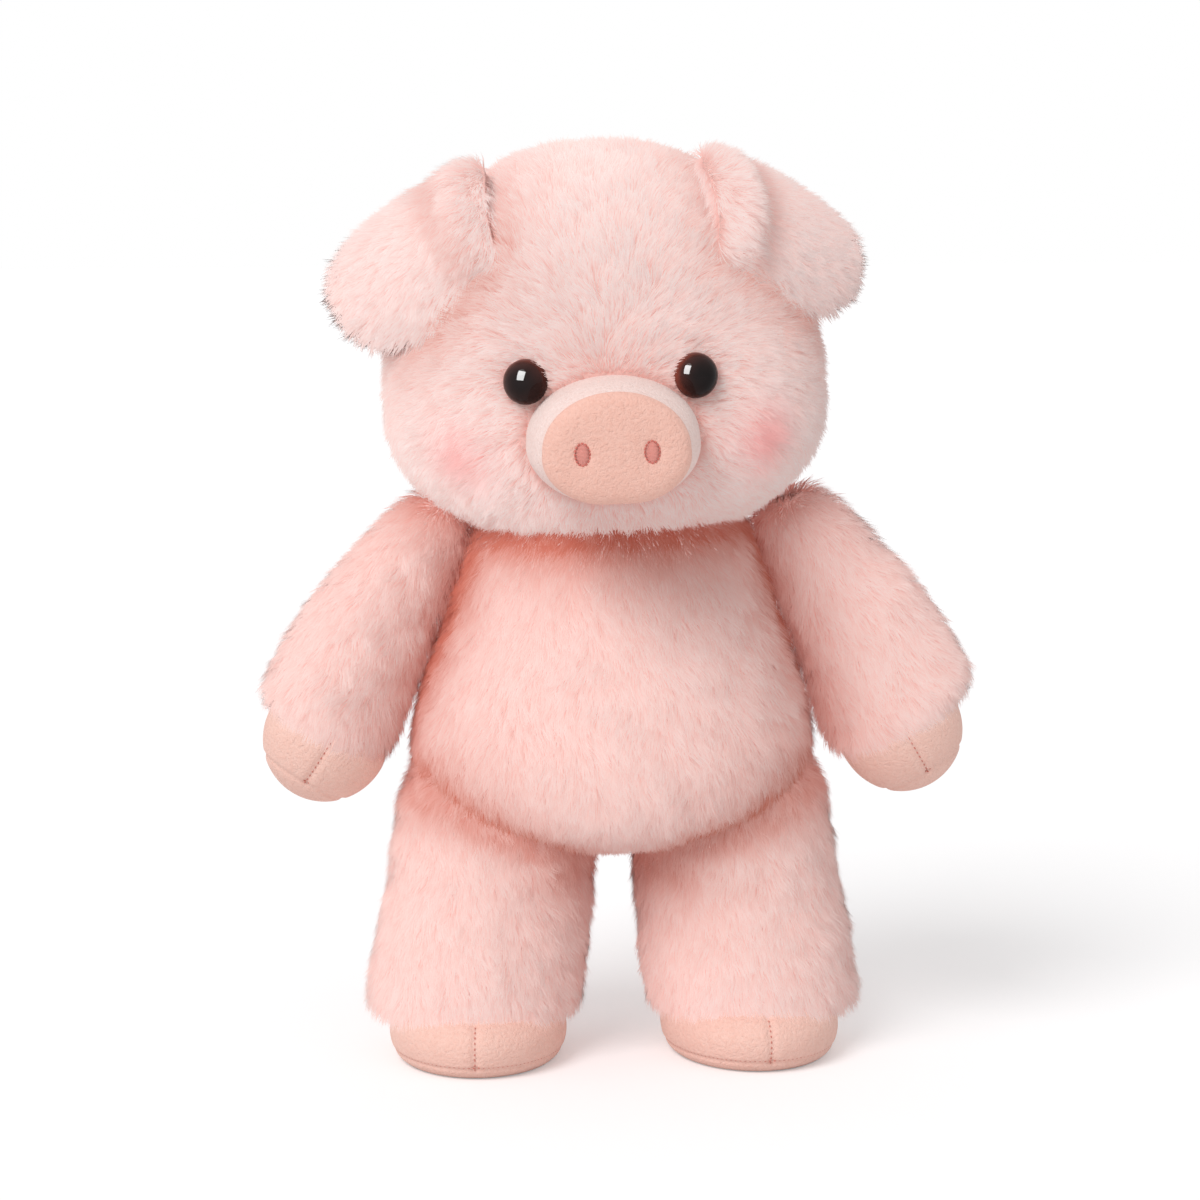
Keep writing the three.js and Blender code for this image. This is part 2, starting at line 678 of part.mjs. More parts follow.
function buildHand(side, frame, hand) {
  const middle = side.sign * handLean;
  const soleTop = -(handReach + handTip - handSoleDepth);
  const shell = hand(0, toolSides).subtract(hand(napDepth, innerSides));
  const top = -(handReach - handInside / 2);
  const seamBase = soleTop + pieceGap;
  const half = (towards) => {
    const across = middle + (towards * (slabSpan + pieceGap)) / 2;
    return solid(block(slabSpan, slabSpan, top - seamBase, across, 0, (top + seamBase) / 2));
  };
  const below = solid(block(slabSpan, slabSpan, slabSpan, middle, 0, soleTop - slabSpan / 2));
  addPiece(frame, `${side.name}_hand_toe_inner`, shell.intersect(half(-side.sign)), hoofNap());
  addPiece(frame, `${side.name}_hand_toe_outer`, shell.intersect(half(side.sign)), hoofNap());
  addPiece(frame, `${side.name}_hand_sole`, shell.intersect(below), hoofNap());
  const above = solid(block(slabSpan, slabSpan, slabSpan, middle, 0, top + slabSpan / 2));
  addPiece(frame, `${side.name}_hand_filling`, cut(hand(napDepth + pieceGap, innerSides), above), stuffing());
}

// The torso's side, turned about the axis that an arm swings on: whatever stays outside it
// passes the torso at every swing
function flankForm(side, grow) {
  const dropOf = (rise) => shoulderHeight - (torsoBottom + torsoHeight * rise);
  const below = torsoShares.filter(([rise]) => dropOf(rise) > 0);
  const outline = below.map(([rise, width]) => [dropOf(rise), torsoHalfWidth * width + grow]);
  const [lowest] = outline;
  const [, widthAtTop] = outline[outline.length - 1];
  const points = [[0, 0], [lowest[0] + grow, 0], ...outline, [0, widthAtTop]];
  const profile = points.map(([drop, out]) => new THREE.Vector2(drop, out - shoulderSide));
  return new THREE.LatheGeometry(profile, toolSides * 2).rotateZ((-side.sign * Math.PI) / 2);
}

// The ring of stitches that holds an arm, a band of the ball that it turns on
function shoulderBand(side, grow) {
  const inner = shoulderRadius + jointGap;
  const far = -side.sign * (inner * shoulderBandShare);
  const slab = block(shoulderSeamWidth + grow * 2, slabSpan, slabSpan, far, 0, 0);
  return ballBand(inner - grow, shoulderSeamThickness + grow * 2, slab, smallSides);
}

function buildShoulder(side) {
  const centre = shoulderCentre(side);
  const frame = addFrame(pig, centre.x, centre.y, centre.z);
  addPiece(frame, `${side.name}_shoulder_seam`, shoulderBand(side, 0), thread());
}

// A leg, drawn down from the hip along -Z
function legForm(side, inset, columns = limbSides) {
  const drop = hipHeight - legCuffHeight;
  const size = {
    halfWidth: legHalfWidth,
    front: legHalfDepth,
    back: legHalfDepth,
    bottom: -drop,
    height: drop + legTop,
    lean: side.sign * legLean,
  };
  return stuffedForm(legShares, size, inset, columns);
}

// A foot, drawn up from the sole
function footForm(inset, columns = limbSides) {
  const size = {
    halfWidth: footHalfWidth,
    front: footHalfDepth,
    back: footHalfDepth,
    bottom: 0,
    height: footHeight,
    lean: 0,
  };
  return stuffedForm(footShares, size, inset, columns);
}

function buildLeg(side) {
  const centre = hipCentre(side);
  const frame = addFrame(pig, centre.x, centre.y, centre.z);
  const toFrame = frame.matrixWorld.clone().invert();
  const splay = new THREE.Euler(0, 0, radians(side.sign * footSplay));
  const footFrame = addFrame(pig, side.sign * footSide, -footForward, 0, splay);
  const footInLeg = toFrame.clone().multiply(footFrame.matrixWorld);
  const swings = spread(-legSwingForward, legSwingBack, poseSteps);
  const torsos = (grow) => {
    const torso = torsoForm(-(toolGrowth + grow), toolSides);
    return swings.map((swing) => {
      const undo = toFrame.clone().multiply(turnAbout(centre, alongX, -swing));
      return solid(moved(torso, undo));
    });
  };
  const foot = solid(moved(footForm(-pieceGap), footInLeg));
  const trunk = (inset, columns) =>
    cut(solid(legForm(side, inset, columns)), torsos(inset)).add(solid(hipForm(-inset, columns)));
  const cavity = trunk(furDepth, innerSides);
  addPiece(frame, `${side.name}_leg_fur`, cut(trunk(0, limbSides), cavity, foot), fur());
  addPiece(frame, `${side.name}_leg_filling`, cut(trunk(furDepth + fillingGap, innerSides), foot), stuffing());
  buildFoot(side, footFrame);
}

function buildFoot(side, frame) {
  const shell = solid(footForm(0)).subtract(solid(footForm(napDepth, innerSides)));
  const layer = (from, to) => solid(block(slabSpan, slabSpan, to - from, 0, 0, (from + to) / 2));
  const toes = shell.intersect(layer(footSoleDepth + pieceGap, footSeamTop));
  const beside = (towards) => {
    const across = (towards * (slabSpan + pieceGap)) / 2;
    return solid(block(slabSpan, slabSpan, slabSpan, across, 0, 0));
  };
  const inside = solid(footForm(napDepth + pieceGap, innerSides));
  const boardBase = napDepth + pieceGap;
  const boardTop = boardBase + footBoardThickness;
  const bagBase = boardTop + pieceGap;
  const prefix = `${side.name}_foot`;
  addPiece(frame, `${prefix}_toe_inner`, toes.intersect(beside(-side.sign)), hoofNap());
  addPiece(frame, `${prefix}_toe_outer`, toes.intersect(beside(side.sign)), hoofNap());
  addPiece(frame, `${prefix}_sole`, shell.intersect(layer(-cutOverrun, footSoleDepth)), hoofNap());
  addPiece(frame, `${prefix}_board`, inside.intersect(layer(boardBase, boardTop)), soleBoard());
  addPiece(frame, `${prefix}_pellets`, inside.intersect(layer(bagBase, bagBase + footBagDepth)), pelletBag());
}

buildTorso();
buildNeck();
buildHead();
for (const side of sides) {
  buildEar(side);
  buildArm(side);
  buildLeg(side);
}

// The origin goes under the middle of the bounding box, and the soles on the floor
pig.updateMatrixWorld(true);
const reach = new THREE.Box3().setFromObject(pig, true);
const middle = reach.getCenter(new THREE.Vector3());
pig.position.set(-middle.x, -middle.y, -reach.min.z);
pig.updateMatrixWorld(true);

export default pig;
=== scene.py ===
"""A plush pig with a soft pile, short-nap hooves and snout, and glossy eyes.

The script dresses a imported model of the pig. Every length is in metres. The pig faces -Y, its own
left side is at +X, and the floor is at zero height.
"""

import itertools
import json
import math

import bpy
import numpy as np
from bpy.props import FloatProperty, FloatVectorProperty, IntProperty, PointerProperty
from mathutils import Matrix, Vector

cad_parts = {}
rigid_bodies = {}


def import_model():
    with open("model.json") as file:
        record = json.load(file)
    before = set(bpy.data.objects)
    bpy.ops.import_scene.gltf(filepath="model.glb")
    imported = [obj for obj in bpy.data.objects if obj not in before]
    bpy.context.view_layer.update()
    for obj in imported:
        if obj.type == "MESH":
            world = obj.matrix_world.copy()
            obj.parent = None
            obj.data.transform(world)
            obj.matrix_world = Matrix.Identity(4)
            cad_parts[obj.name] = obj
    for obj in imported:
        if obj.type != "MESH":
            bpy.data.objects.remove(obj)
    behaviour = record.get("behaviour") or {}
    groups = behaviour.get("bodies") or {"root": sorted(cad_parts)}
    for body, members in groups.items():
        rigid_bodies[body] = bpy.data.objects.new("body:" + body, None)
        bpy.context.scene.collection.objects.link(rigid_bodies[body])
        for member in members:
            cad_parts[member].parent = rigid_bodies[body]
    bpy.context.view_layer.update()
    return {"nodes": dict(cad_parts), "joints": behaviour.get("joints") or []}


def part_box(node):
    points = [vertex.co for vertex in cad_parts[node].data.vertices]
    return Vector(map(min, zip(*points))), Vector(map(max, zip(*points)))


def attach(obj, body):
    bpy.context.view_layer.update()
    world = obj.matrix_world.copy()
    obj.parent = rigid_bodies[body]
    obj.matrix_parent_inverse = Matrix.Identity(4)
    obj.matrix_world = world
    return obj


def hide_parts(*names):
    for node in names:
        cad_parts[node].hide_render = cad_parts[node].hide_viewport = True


bl_info = {
    "name": "Plush Pig",
    "version": (1, 0, 0),
    "blender": (4, 5, 0),
    "location": "3D View > Sidebar > Plush Pig",
    "description": "Dresses a plush pig in pile, short-nap cloth, stitches and eyes",
    "category": "Add Mesh",
}

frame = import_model()

SIDES = {"left": 1.0, "right": -1.0}
UP = np.array([0.0, 0.0, 1.0])


def joint_place(name):
    """The point that a joint of the frame turns about."""
    return np.array(next(joint["pos_m"] for joint in frame["joints"] if joint["name"] == name))


NECK = joint_place("head_turn")
MIDDLE = np.array([NECK[0], NECK[1], 0.0])
TORSO_LOW, TORSO_HIGH = (np.array(corner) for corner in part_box("torso_fur"))
TORSO_SAG = 0.0015


def size(name, description, default):
    """A length in metres that a user can change."""
    return FloatProperty(name=name, description=description, default=default, unit="LENGTH", precision=4)


def number(name, description, default):
    """A plain number that a user can change."""
    return FloatProperty(name=name, description=description, default=default, precision=3)


def angle(name, description, degrees):
    """An angle that a user can change, given here in degrees."""
    return FloatProperty(name=name, description=description, default=math.radians(degrees), unit="ROTATION")


def colour(name, description, red, green, blue):
    """A colour given as the eye sees it, from 0 to 255, and kept as linear light."""
    seen = np.array([red, green, blue]) / 255
    linear = np.where(seen > 0.04045, ((seen + 0.055) / 1.055) ** 2.4, seen / 12.92)
    return FloatVectorProperty(
        name=name, description=description, default=tuple(linear), subtype="COLOR", min=0, max=1
    )


class PigPile(bpy.types.PropertyGroup):
    """The pile that covers the body."""

    depth: size("Depth", "From the cloth's backing to the tips", 0.0046)
    length: size("Length", "Of a strand along itself", 0.0080)
    width: size("Width", "Of a strand at its root", 0.00034)
    tuft: size("Tuft", "Distance between the middles of tufts", 0.0019)
    gather: number("Gather", "How far a strand's tip leans towards its tuft's middle", 0.3)
    lean: angle("Lean", "Of the strands away from upright", 61)
    density: number("Density", "Strands on a square millimetre", 3.2)
    # How far the painted crease shade spreads from where forms meet.
    crease_fade: size("Crease fade", "How far the deeper colour spreads from where forms meet", 0.0105)
    seed: IntProperty(name="Seed", description="Of the random places", default=11)


class PigTorso(bpy.types.PropertyGroup):
    """The torso, a pear that is widest low down."""

    half_width: size("Half width", "Of its widest ring", TORSO_HIGH[0])
    front_depth: size("Front depth", "From the middle to the belly", NECK[1] - TORSO_LOW[1])
    back_depth: size("Back depth", "From the middle to the back", TORSO_HIGH[1] - NECK[1])
    bottom: size("Bottom", "Height of the lowest point", TORSO_LOW[2] - TORSO_SAG)
    height: size("Height", "From the lowest point to the top", 0.1375)
    seam_length: size("Seam length", "Of the closing seam in the back", 0.052)
    seam_height: size("Seam height", "Of the closing seam's middle", 0.122)


class PigHead(bpy.types.PropertyGroup):
    """The head, an egg that is wider low down."""

    half_width: size("Half width", "Of its widest ring", 0.0768)
    front_depth: size("Front depth", "From the neck's middle to the face", 0.064)
    back_depth: size("Back depth", "From the neck's middle to the back", 0.060)
    widest_rise: size("Widest rise", "Of the widest ring above the neck's centre", 0.0365)
    upper_height: size("Upper height", "From the widest ring to the top", 0.0898)
    lower_height: size("Lower height", "From the widest ring to the chin", 0.050)
    squareness: number("Squareness", "Power of its outline, 2 for an oval", 2.2)
    turn: angle("Turn", "To the pig's right", 2.5)
    tilt: angle("Tilt", "To the pig's right", 2)
    aside: size("Aside", "Of its middle from the neck's centre, to the pig's left", -0.0012)
    cheek: size("Cheek", "How far the cheeks stand out", 0.0002)
    blush_side: size("Blush side", "Of the blush's middle from the head's middle", 0.052)
    blush_rise: size("Blush rise", "Of the blush's middle above the neck's centre", 0.0258)
    blush_radius: size("Blush radius", "How far the blush spreads", 0.0115)
    blush_uneven: size("Blush uneven", "How much higher the left blush sits, and lower the right", 0.0018)


class PigEyes(bpy.types.PropertyGroup):
    """The safety eyes."""

    diameter: size("Diameter", "Of an eye", 0.0152)
    dome: size("Dome", "Height of an eye above its rim's foot", 0.0066)
    sink: size("Sink", "How deep the rim's foot lies in the pile", 0.0040)
    spacing: size("Spacing", "Between the middles of the eyes", 0.0583)
    rise: size("Rise", "Above the neck's centre", 0.0498)
    outward: angle("Outward", "How far an eye looks to its side", 18)
    upward: angle("Upward", "How far an eye looks up", 6)


class PigSnout(bpy.types.PropertyGroup):
    """The snout: a pale band with a peach face sewn to it."""

    rise: size("Rise", "Of its middle above the neck's centre", 0.0301)
    face_drop: size("Face drop", "How much lower the face sits than the band's root", 0.0013)
    face_narrow: number("Face narrow", "Share by which the face is narrower than the band", 0.075)
    reach: size("Reach", "From the neck's centre to the tip", 0.086)
    root: size("Root", "Where it starts inside the head", 0.046)
    half_width: size("Half width", "At its root", 0.0288)
    half_height: size("Half height", "At its root", 0.0210)
    setback: size("Setback", "From the tip back to the seam round the face", 0.0055)
    lip_notch: size("Lip notch", "Depth of the dip in the middle of the lower edge", 0.0007)
    nostril_spacing: size("Nostril spacing", "Between the nostrils", 0.0225)
    nostril_drop: size("Nostril drop", "Of the nostrils below the snout's middle", 0.0018)
    nostril_width: size("Nostril width", "Across", 0.0047)
    nostril_height: size("Nostril height", "Up and down", 0.0069)


class PigEars(bpy.types.PropertyGroup):
    """The ears, cambered flaps that hang from a puffed fold."""

    left_length: size("Left length", "Of the left ear, from the root to the tip", 0.0632)
    right_length: size("Right length", "Of the right ear, from the root to the tip", 0.0622)
    half_chord: size("Half chord", "Half of the flap's width", 0.0282)
    stand: size("Stand", "Of the flap's middle surface above the root's axis", 0.0047)
    camber: size("Camber", "How far the flap's edges curl down", 0.0105)
    sag: size("Sag", "How far the tip hangs below the root", 0.008)
    pile: size("Pile", "Depth of the ears' pile", 0.0032)
    thickness: size("Thickness", "Of the padded flap without its pile", 0.0058)
    fold: number("Fold", "How much thicker the fold along the root is than the flap", 1.25)
    fold_in: size("Fold in", "How far the fold's edge lies inwards of the root's axis", 0.0085)
    fold_shift: size("Fold shift", "Of the fold's middle, forwards and down", 0.0018)
    left_turn: angle("Left turn", "Of the left fold's lower end, outwards", 9)
    right_turn: angle("Right turn", "Of the right fold's lower end, outwards", 17)
    side: size("Side", "Of the root from the head's middle", 0.0395)
    forward: size("Forward", "Of the root from the neck's centre", 0.028)
    rise: size("Rise", "Of the root above the neck's centre", 0.106)
    facing: angle("Facing", "How far the flap's face turns to the front", 54)
    left_droop: angle("Left droop", "Of the left flap below level", 21)
    right_droop: angle("Right droop", "Of the right flap below level", 30)
    left_splay: angle("Left splay", "Of the left flap to the back", 31)
    right_splay: angle("Right splay", "Of the right flap to the back", 12)


class PigArms(bpy.types.PropertyGroup):
    """The arms and their hooves."""

    left_out: size("Left out", "Of the left arm's skin, outwards from its joint", 0.0024)
    slope: angle("Slope", "Of an arm from upright", 31)
    length: size("Length", "From the shoulder's centre to the cuff", 0.0745)
    top: size("Top", "Above the shoulder's centre, along the arm", 0.024)
    left_half_width: size("Left half width", "Of the left arm near its cuff", 0.0297)
    right_half_width: size("Right half width", "Of the right arm near its cuff", 0.0267)
    half_depth: size("Half depth", "Of the arm near its cuff", 0.0255)
    lean: size("Lean", "How far the arm bows outwards", 0.0128)
    hand_lean: size("Hand lean", "Of the hoof's middle, outwards", 0.005)
    hand_half_width: size("Hand half width", "Of the hoof", 0.0218)
    hand_half_depth: size("Hand half depth", "Of the hoof", 0.020)
    hand_tip: size("Hand tip", "Length of the hoof below its widest ring", 0.0224)
    hand_inside: size("Hand inside", "Length of the hoof above its widest ring", 0.015)
    hand_sole: size("Hand sole", "Height of the sole's seam above the tip", 0.007)


class PigLegs(bpy.types.PropertyGroup):
    """The legs and their feet."""

    left_out: size("Left out", "Of the left leg, outwards from its joint", 0.0012)
    cuff: size("Cuff", "Height of the cuff above the floor", 0.0122)
    half_width: size("Half width", "Of a leg", 0.0375)
    half_depth: size("Half depth", "Of a leg", 0.0345)
    hip_radius: size("Hip radius", "Of a leg's round top", 0.0335)
    lean: size("Lean", "Of the cuff's middle outwards from the hip", 0.0076)
    foot_outward: size("Foot outward", "Of the foot's middle from the hip", 0.0062)
    foot_forward: size("Foot forward", "Of the foot's middle from the pig's middle", 0.003)
    foot_splay: angle("Foot splay", "How far a foot points outwards", 5)
    foot_half_width: size("Foot half width", "Of a foot", 0.031)
    foot_half_depth: size("Foot half depth", "Of a foot", 0.038)
    foot_height: size("Foot height", "Of a foot, most of it inside the cuff", 0.040)
    foot_sole: size("Foot sole", "Height of the sole's seam", 0.004)


class PigColours(bpy.types.PropertyGroup):
    """The colours of the cloths, the threads and the eyes."""

    # Darker than the tips: partly the cloth's own salmon and partly painted shade low in the pile, whose
    # strands cast no shadows.
    pile_root: colour("Pile root", "Near the backing", 236, 178, 169)
    pile_tip: colour("Pile tip", "At the strands' tips", 244, 221, 216)
    ear_tip: colour("Ear tip", "At the tips of the ears' strands", 245, 232, 229)
    blush: colour("Blush", "On the cheeks", 248, 148, 146)
    backing: colour("Backing", "Of the pile", 247, 196, 187)
    hoof: colour("Hoof", "Of the hooves' short nap", 255, 216, 203)
    snout: colour("Snout", "Of the snout's face", 255, 209, 194)
    band: colour("Band", "Of the snout's band", 255, 236, 231)
    nostril: colour("Nostril", "Of the satin stitches", 252, 172, 160)
    nostril_ring: colour("Nostril ring", "Of the stitches round a nostril", 236, 134, 122)
    # Painted shade: the pile is multiplied by this where forms meet, for the shade that falls in the
    # creases between them.
    crease: colour("Crease", "What the pile is multiplied by where forms meet", 210, 147, 131)
    head_tip: colour("Head tip", "At the tips of the head's strands", 251, 240, 237)
    thread: colour("Thread", "Of the sewing", 232, 146, 132)
    eye: colour("Eye", "In the middle of an eye", 6, 4, 4)
    eye_rim: colour("Eye rim", "Round an eye's edge", 52, 20, 14)
    filling: colour("Filling", "Of the fibre", 246, 244, 240)


class PigStage(bpy.types.PropertyGroup):
    """The floor, the light and the camera."""

    distance: size("Distance", "From the camera to the pig", 1.3)
    azimuth: angle("Azimuth", "Of the camera, from straight ahead", -5)
    elevation: angle("Elevation", "Of the camera", 9)
    lens: number("Lens", "Focal length on a 36 mm sensor", 113.0)
    aim_side: size("Aim side", "Of the point that the camera looks at", -0.0045)
    aim_height: size("Aim height", "Of the point that the camera looks at", 0.1608)
    sky: number("Sky", "Strength of the even light", 0.62)
    key: number("Key", "Strength of the main lamp", 1.42)
    key_spread: angle("Key spread", "How wide the main lamp looks from the pig", 30)
    key_azimuth: angle("Key azimuth", "Of the main lamp, from straight ahead", -42)
    key_elevation: angle("Key elevation", "Of the main lamp", 46)
    gleam: number("Gleam", "Power of the small lamp that lights the eyes alone, in watts", 66)
    gleam_azimuth: angle("Gleam azimuth", "Of the small lamp, from straight ahead", -38)
    gleam_elevation: angle("Gleam elevation", "Of the small lamp", 34)
    floor_white: number("Floor white", "How white the camera sees the floor without its light", 0.24)


class PlushPig(bpy.types.PropertyGroup):
    """All sizes and colours of the pig."""

    pile: PointerProperty(type=PigPile)
    torso: PointerProperty(type=PigTorso)
    head: PointerProperty(type=PigHead)
    eyes: PointerProperty(type=PigEyes)
    snout: PointerProperty(type=PigSnout)
    ears: PointerProperty(type=PigEars)
    arms: PointerProperty(type=PigArms)
    legs: PointerProperty(type=PigLegs)
    colours: PointerProperty(type=PigColours)
    stage: PointerProperty(type=PigStage)


def pig():
    """All sizes and colours in use."""
    return bpy.context.scene.plush_pig


# Shares of a form's height, half width and sideways lean, from its bottom to its top
TORSO_SHARES = (
    (0, 0), (0.02, 0.34), (0.06, 0.6), (0.12, 0.82), (0.19, 0.95), (0.28, 1), (0.4, 0.965),
    (0.53, 0.89), (0.65, 0.81), (0.76, 0.745), (0.85, 0.68), (0.93, 0.55), (0.98, 0.32), (1, 0),
)
ARM_SHARES = (
    (0, 0, 0.66), (0, 0.55, 0.66), (0.004, 0.82, 0.66), (0.03, 0.95, 0.68), (0.09, 1, 0.72),
    (0.25, 0.955, 0.83), (0.47, 0.84, 0.92), (0.66, 0.7, 0.9), (0.81, 0.61, 0.85),
    (0.905, 0.5, 0.8), (0.97, 0.34, 0.75), (1, 0, 0.75),
)
LEG_SHARES = (
    (0, 0, 1), (0, 0.55, 1), (0.004, 0.85, 1), (0.025, 0.99, 0.98), (0.07, 1.04, 0.92),
    (0.28, 1.03, 0.55), (0.48, 0.99, 0.2), (0.67, 0.955, 0), (0.82, 0.87, 0), (0.92, 0.66, 0),
    (0.98, 0.36, 0), (1, 0, 0),
)
FOOT_SHARES = (
    (0, 0), (0, 0.5), (0, 0.8), (0.02, 0.88), (0.07, 0.94), (0.14, 0.98), (0.24, 1),
    (0.34, 0.98), (0.44, 0.9), (0.52, 0.78), (0.8, 0.6), (0.95, 0.36), (1, 0),
)
# Shares of the snout's reach past its root, and of its half sizes, for its band and its face
BAND_SHARES = (
    (0, 0.97), (0.3, 1), (0.55, 0.998), (0.74, 0.975), (0.87, 0.935), (0.96, 0.895), (1, 0.865),
)
FACE_SHARES = (
    (0, 0.865), (0.1, 0.9), (0.24, 0.905), (0.44, 0.885), (0.66, 0.83), (0.84, 0.71),
    (0.95, 0.5), (0.99, 0.25), (1, 0),
)
# Shares of the ear's length and half chord, from the root to the tip
EAR_SHARES = (
    (0, 0.76), (0.12, 0.87), (0.3, 0.97), (0.5, 1), (0.68, 0.97), (0.83, 0.84),
    (0.93, 0.62), (0.985, 0.34), (1, 0),
)


def unit(vectors):
    """Each vector at length one."""
    return vectors / np.maximum(np.linalg.norm(vectors, axis=-1, keepdims=True), 1e-12)


def turned(axis, radians):
    """The matrix of a turn about one of the three axes."""
    c, s = math.cos(radians), math.sin(radians)
    if axis == "X":
        return np.array([[1, 0, 0], [0, c, -s], [0, s, c]])
    if axis == "Y":
        return np.array([[c, 0, s], [0, 1, 0], [-s, 0, c]])
    return np.array([[c, -s, 0], [s, c, 0], [0, 0, 1]])


def smooth(table, steps):
    """Points along a curve that passes through a table's rows. Between two rows it is a cubic
    whose slope at each row is half of the way from the row before to the row after."""
    rows = np.array(table, float)
    rows = np.vstack([rows[0], rows, rows[-1]])
    spot = np.linspace(0, len(table) - 1, steps + 1)
    start = np.minimum(spot.astype(int), len(table) - 2)
    t = (spot - start)[:, None]
    a, b, c, d = (rows[start + step] for step in range(4))
    bend = 2 * a - 5 * b + 4 * c - d
    twist = 3 * b - a - 3 * c + d
    return (2 * b + (c - a) * t + bend * t**2 + twist * t**3) / 2


def turns(columns):
    """Angles once round, with the first again at the end, in a row."""
    return np.linspace(0, 2 * np.pi, columns + 1)[None, :]


def climbs(rows):
    """Angles from straight down to straight up, in a column."""
    return np.linspace(-np.pi / 2, np.pi / 2, rows)[:, None]


def surface(x, y, z):
    """A grid of points from three coordinates, each given by row, by column or by both."""
    return np.stack(np.broadcast_arrays(x, y, z), axis=-1)


def loft(shares, half_width, front, back, bottom, height, lean, inset, rows=96, columns=128):
    """Ovals up a table of shares. A ring's half width is its share of half_width, its depth its
    share of front where the ring faces -Y and of back elsewhere, and its middle is its share of
    lean to the side. inset shrinks the form on every side."""
    table = smooth(shares, rows)
    rise, width = table[:, :1], np.maximum(table[:, 1:2], 0)
    shift = table[:, 2:3] if table.shape[1] > 2 else 0
    angles = turns(columns)
    depth = np.where(np.sin(angles) < 0, front, back) - inset
    across = lean * shift + (half_width - inset) * width * np.cos(angles)
    return surface(across, depth * width * np.sin(angles), bottom + inset + (height - 2 * inset) * rise)


def egg(head, inset):
    """An egg. At a climb from straight down to straight up, its rise is the climb's sine and its
    width the climb's cosine, each to the power two over the squareness. The height differs above
    and below the widest ring, and the depth in front and behind."""
    climb = climbs(129)
    power = 2 / head.squareness
    rise = np.sign(climb) * np.abs(np.sin(climb)) ** power
    width = np.abs(np.cos(climb)) ** power
    width[[0, -1]] = 0
    height = np.where(climb < 0, head.lower_height, head.upper_height) - inset
    angles = turns(160)
    depth = np.where(np.sin(angles) < 0, head.front_depth, head.back_depth) - inset
    across = (head.half_width - inset) * width * np.cos(angles)
    return surface(across, depth * width * np.sin(angles), head.widest_rise + height * rise)


def outward(grid):
    """The direction square to a closed grid at each of its points: the cross product of the way
    round and the way up, taken as differences of neighbours, and turned away from its middle."""
    ring = grid[:, :-1]
    across = np.roll(ring, -1, axis=1) - np.roll(ring, 1, axis=1)
    along = np.gradient(ring, axis=0)
    normals = unit(np.cross(across, along))
    normals[0], normals[-1] = normals[1].mean(axis=0), normals[-2].mean(axis=0)
    normals = unit(normals)
    away = ring - ring.mean(axis=(0, 1))
    if np.sum(normals * away) < 0:
        normals = -normals
    return np.concatenate([normals, normals[:, :1]], axis=1)


def swollen(grid, centre, radius, amount):
    """The grid pushed out along its normals by amount, falling off as a bell round a centre."""
    gap = np.sum((grid - centre) ** 2, axis=-1, keepdims=True)
    return grid + outward(grid) * amount * np.exp(-gap / radius**2)


def mesh_object(name, points, corners, starts):
    """An object from arrays: its points, the points at its faces' corners, and each face's first
    corner."""
    mesh = bpy.data.meshes.new(name)
    mesh.vertices.add(len(points))
    mesh.vertices.foreach_set("co", np.ascontiguousarray(points, np.float32).ravel())
    mesh.loops.add(len(corners))
    mesh.loops.foreach_set("vertex_index", corners.astype(np.int32))
    mesh.polygons.add(len(starts))
    mesh.polygons.foreach_set("loop_start", starts.astype(np.int32))
    mesh.polygons.foreach_set("use_smooth", np.ones(len(starts), bool))
    mesh.update(calc_edges=True)
    thing = bpy.data.objects.new(name, mesh)
    bpy.context.scene.collection.objects.link(thing)
    return thing


def skin_faces(rows, columns):
    """The faces over rings of points with a pole past each end: a strip of four-sided faces between
    each two rings and a fan at each pole. The two poles are numbered after the rings' points."""
    index = np.arange(rows * columns).reshape(rows, columns)
    after = np.roll(index, -1, axis=1)
    quads = np.stack([index[:-1], after[:-1], after[1:], index[1:]], axis=-1).reshape(-1, 4)
    poles = np.repeat([[rows * columns], [rows * columns + 1]], columns, axis=1)
    bottom = np.stack([after[0], index[0], poles[0]], axis=-1)
    top = np.stack([index[-1], after[-1], poles[1]], axis=-1)
    return quads, np.concatenate([bottom, top])


def face_arrays(quads, fans):
    """The corners of all faces in a row, and where each face starts in it."""
    corners = np.concatenate([quads.ravel(), fans.ravel()])
    starts = np.concatenate([np.arange(len(quads)) * 4, quads.size + np.arange(len(fans)) * 3])
    return corners, starts


def closed_object(name, grid):
    """A closed skin from a grid whose first and last rings are poles, with all faces outwards."""
    ring = grid[1:-1, :-1]
    points = np.concatenate([ring.reshape(-1, 3), grid[:1, 0], grid[-1:, 0]])
    quads, fans = skin_faces(*ring.shape[:2])
    a, b, c = (points[quads[:, corner]] for corner in range(3))
    middle = points.mean(axis=0)
    if np.sum(np.cross(b - a, c - a) * (a - middle)) < 0:
        quads, fans = quads[:, ::-1], fans[:, ::-1]
    return mesh_object(name, points, *face_arrays(quads, fans))


def store(thing, name, values, kind="FLOAT"):
    """Keeps a number or a direction at each point of a piece, for its material to read."""
    layer = thing.data.attributes.new(name, kind, "POINT")
    key = "value" if kind == "FLOAT" else "vector"
    layer.data.foreach_set(key, np.ascontiguousarray(values, np.float32).ravel())


def placed(points, matrix, place):
    """Points of a form's own frame in the pig's frame."""
    return points @ matrix.T + place


def dice(cells, seed):
    """Three random numbers from 0 to 1 for each cell of space, the same for the same cell."""
    mixed = cells.astype(np.int64) @ np.array([73856093, 19349663, 83492791], np.int64)
    mixed = (mixed ^ (seed * 2654435761)).astype(np.uint64)
    numbers = []
    for salt in (0x9E3779B9, 0x85EBCA6B, 0xC2B2AE35):
        h = (mixed + np.uint64(salt)) * np.uint64(0x9E3779B97F4A7C15)
        h ^= h >> np.uint64(31)
        h *= np.uint64(0xBF58476D1CE4E5B9)
        h ^= h >> np.uint64(29)
        numbers.append((h >> np.uint64(40)).astype(float) / 2**24)
    return np.stack(numbers, axis=-1)


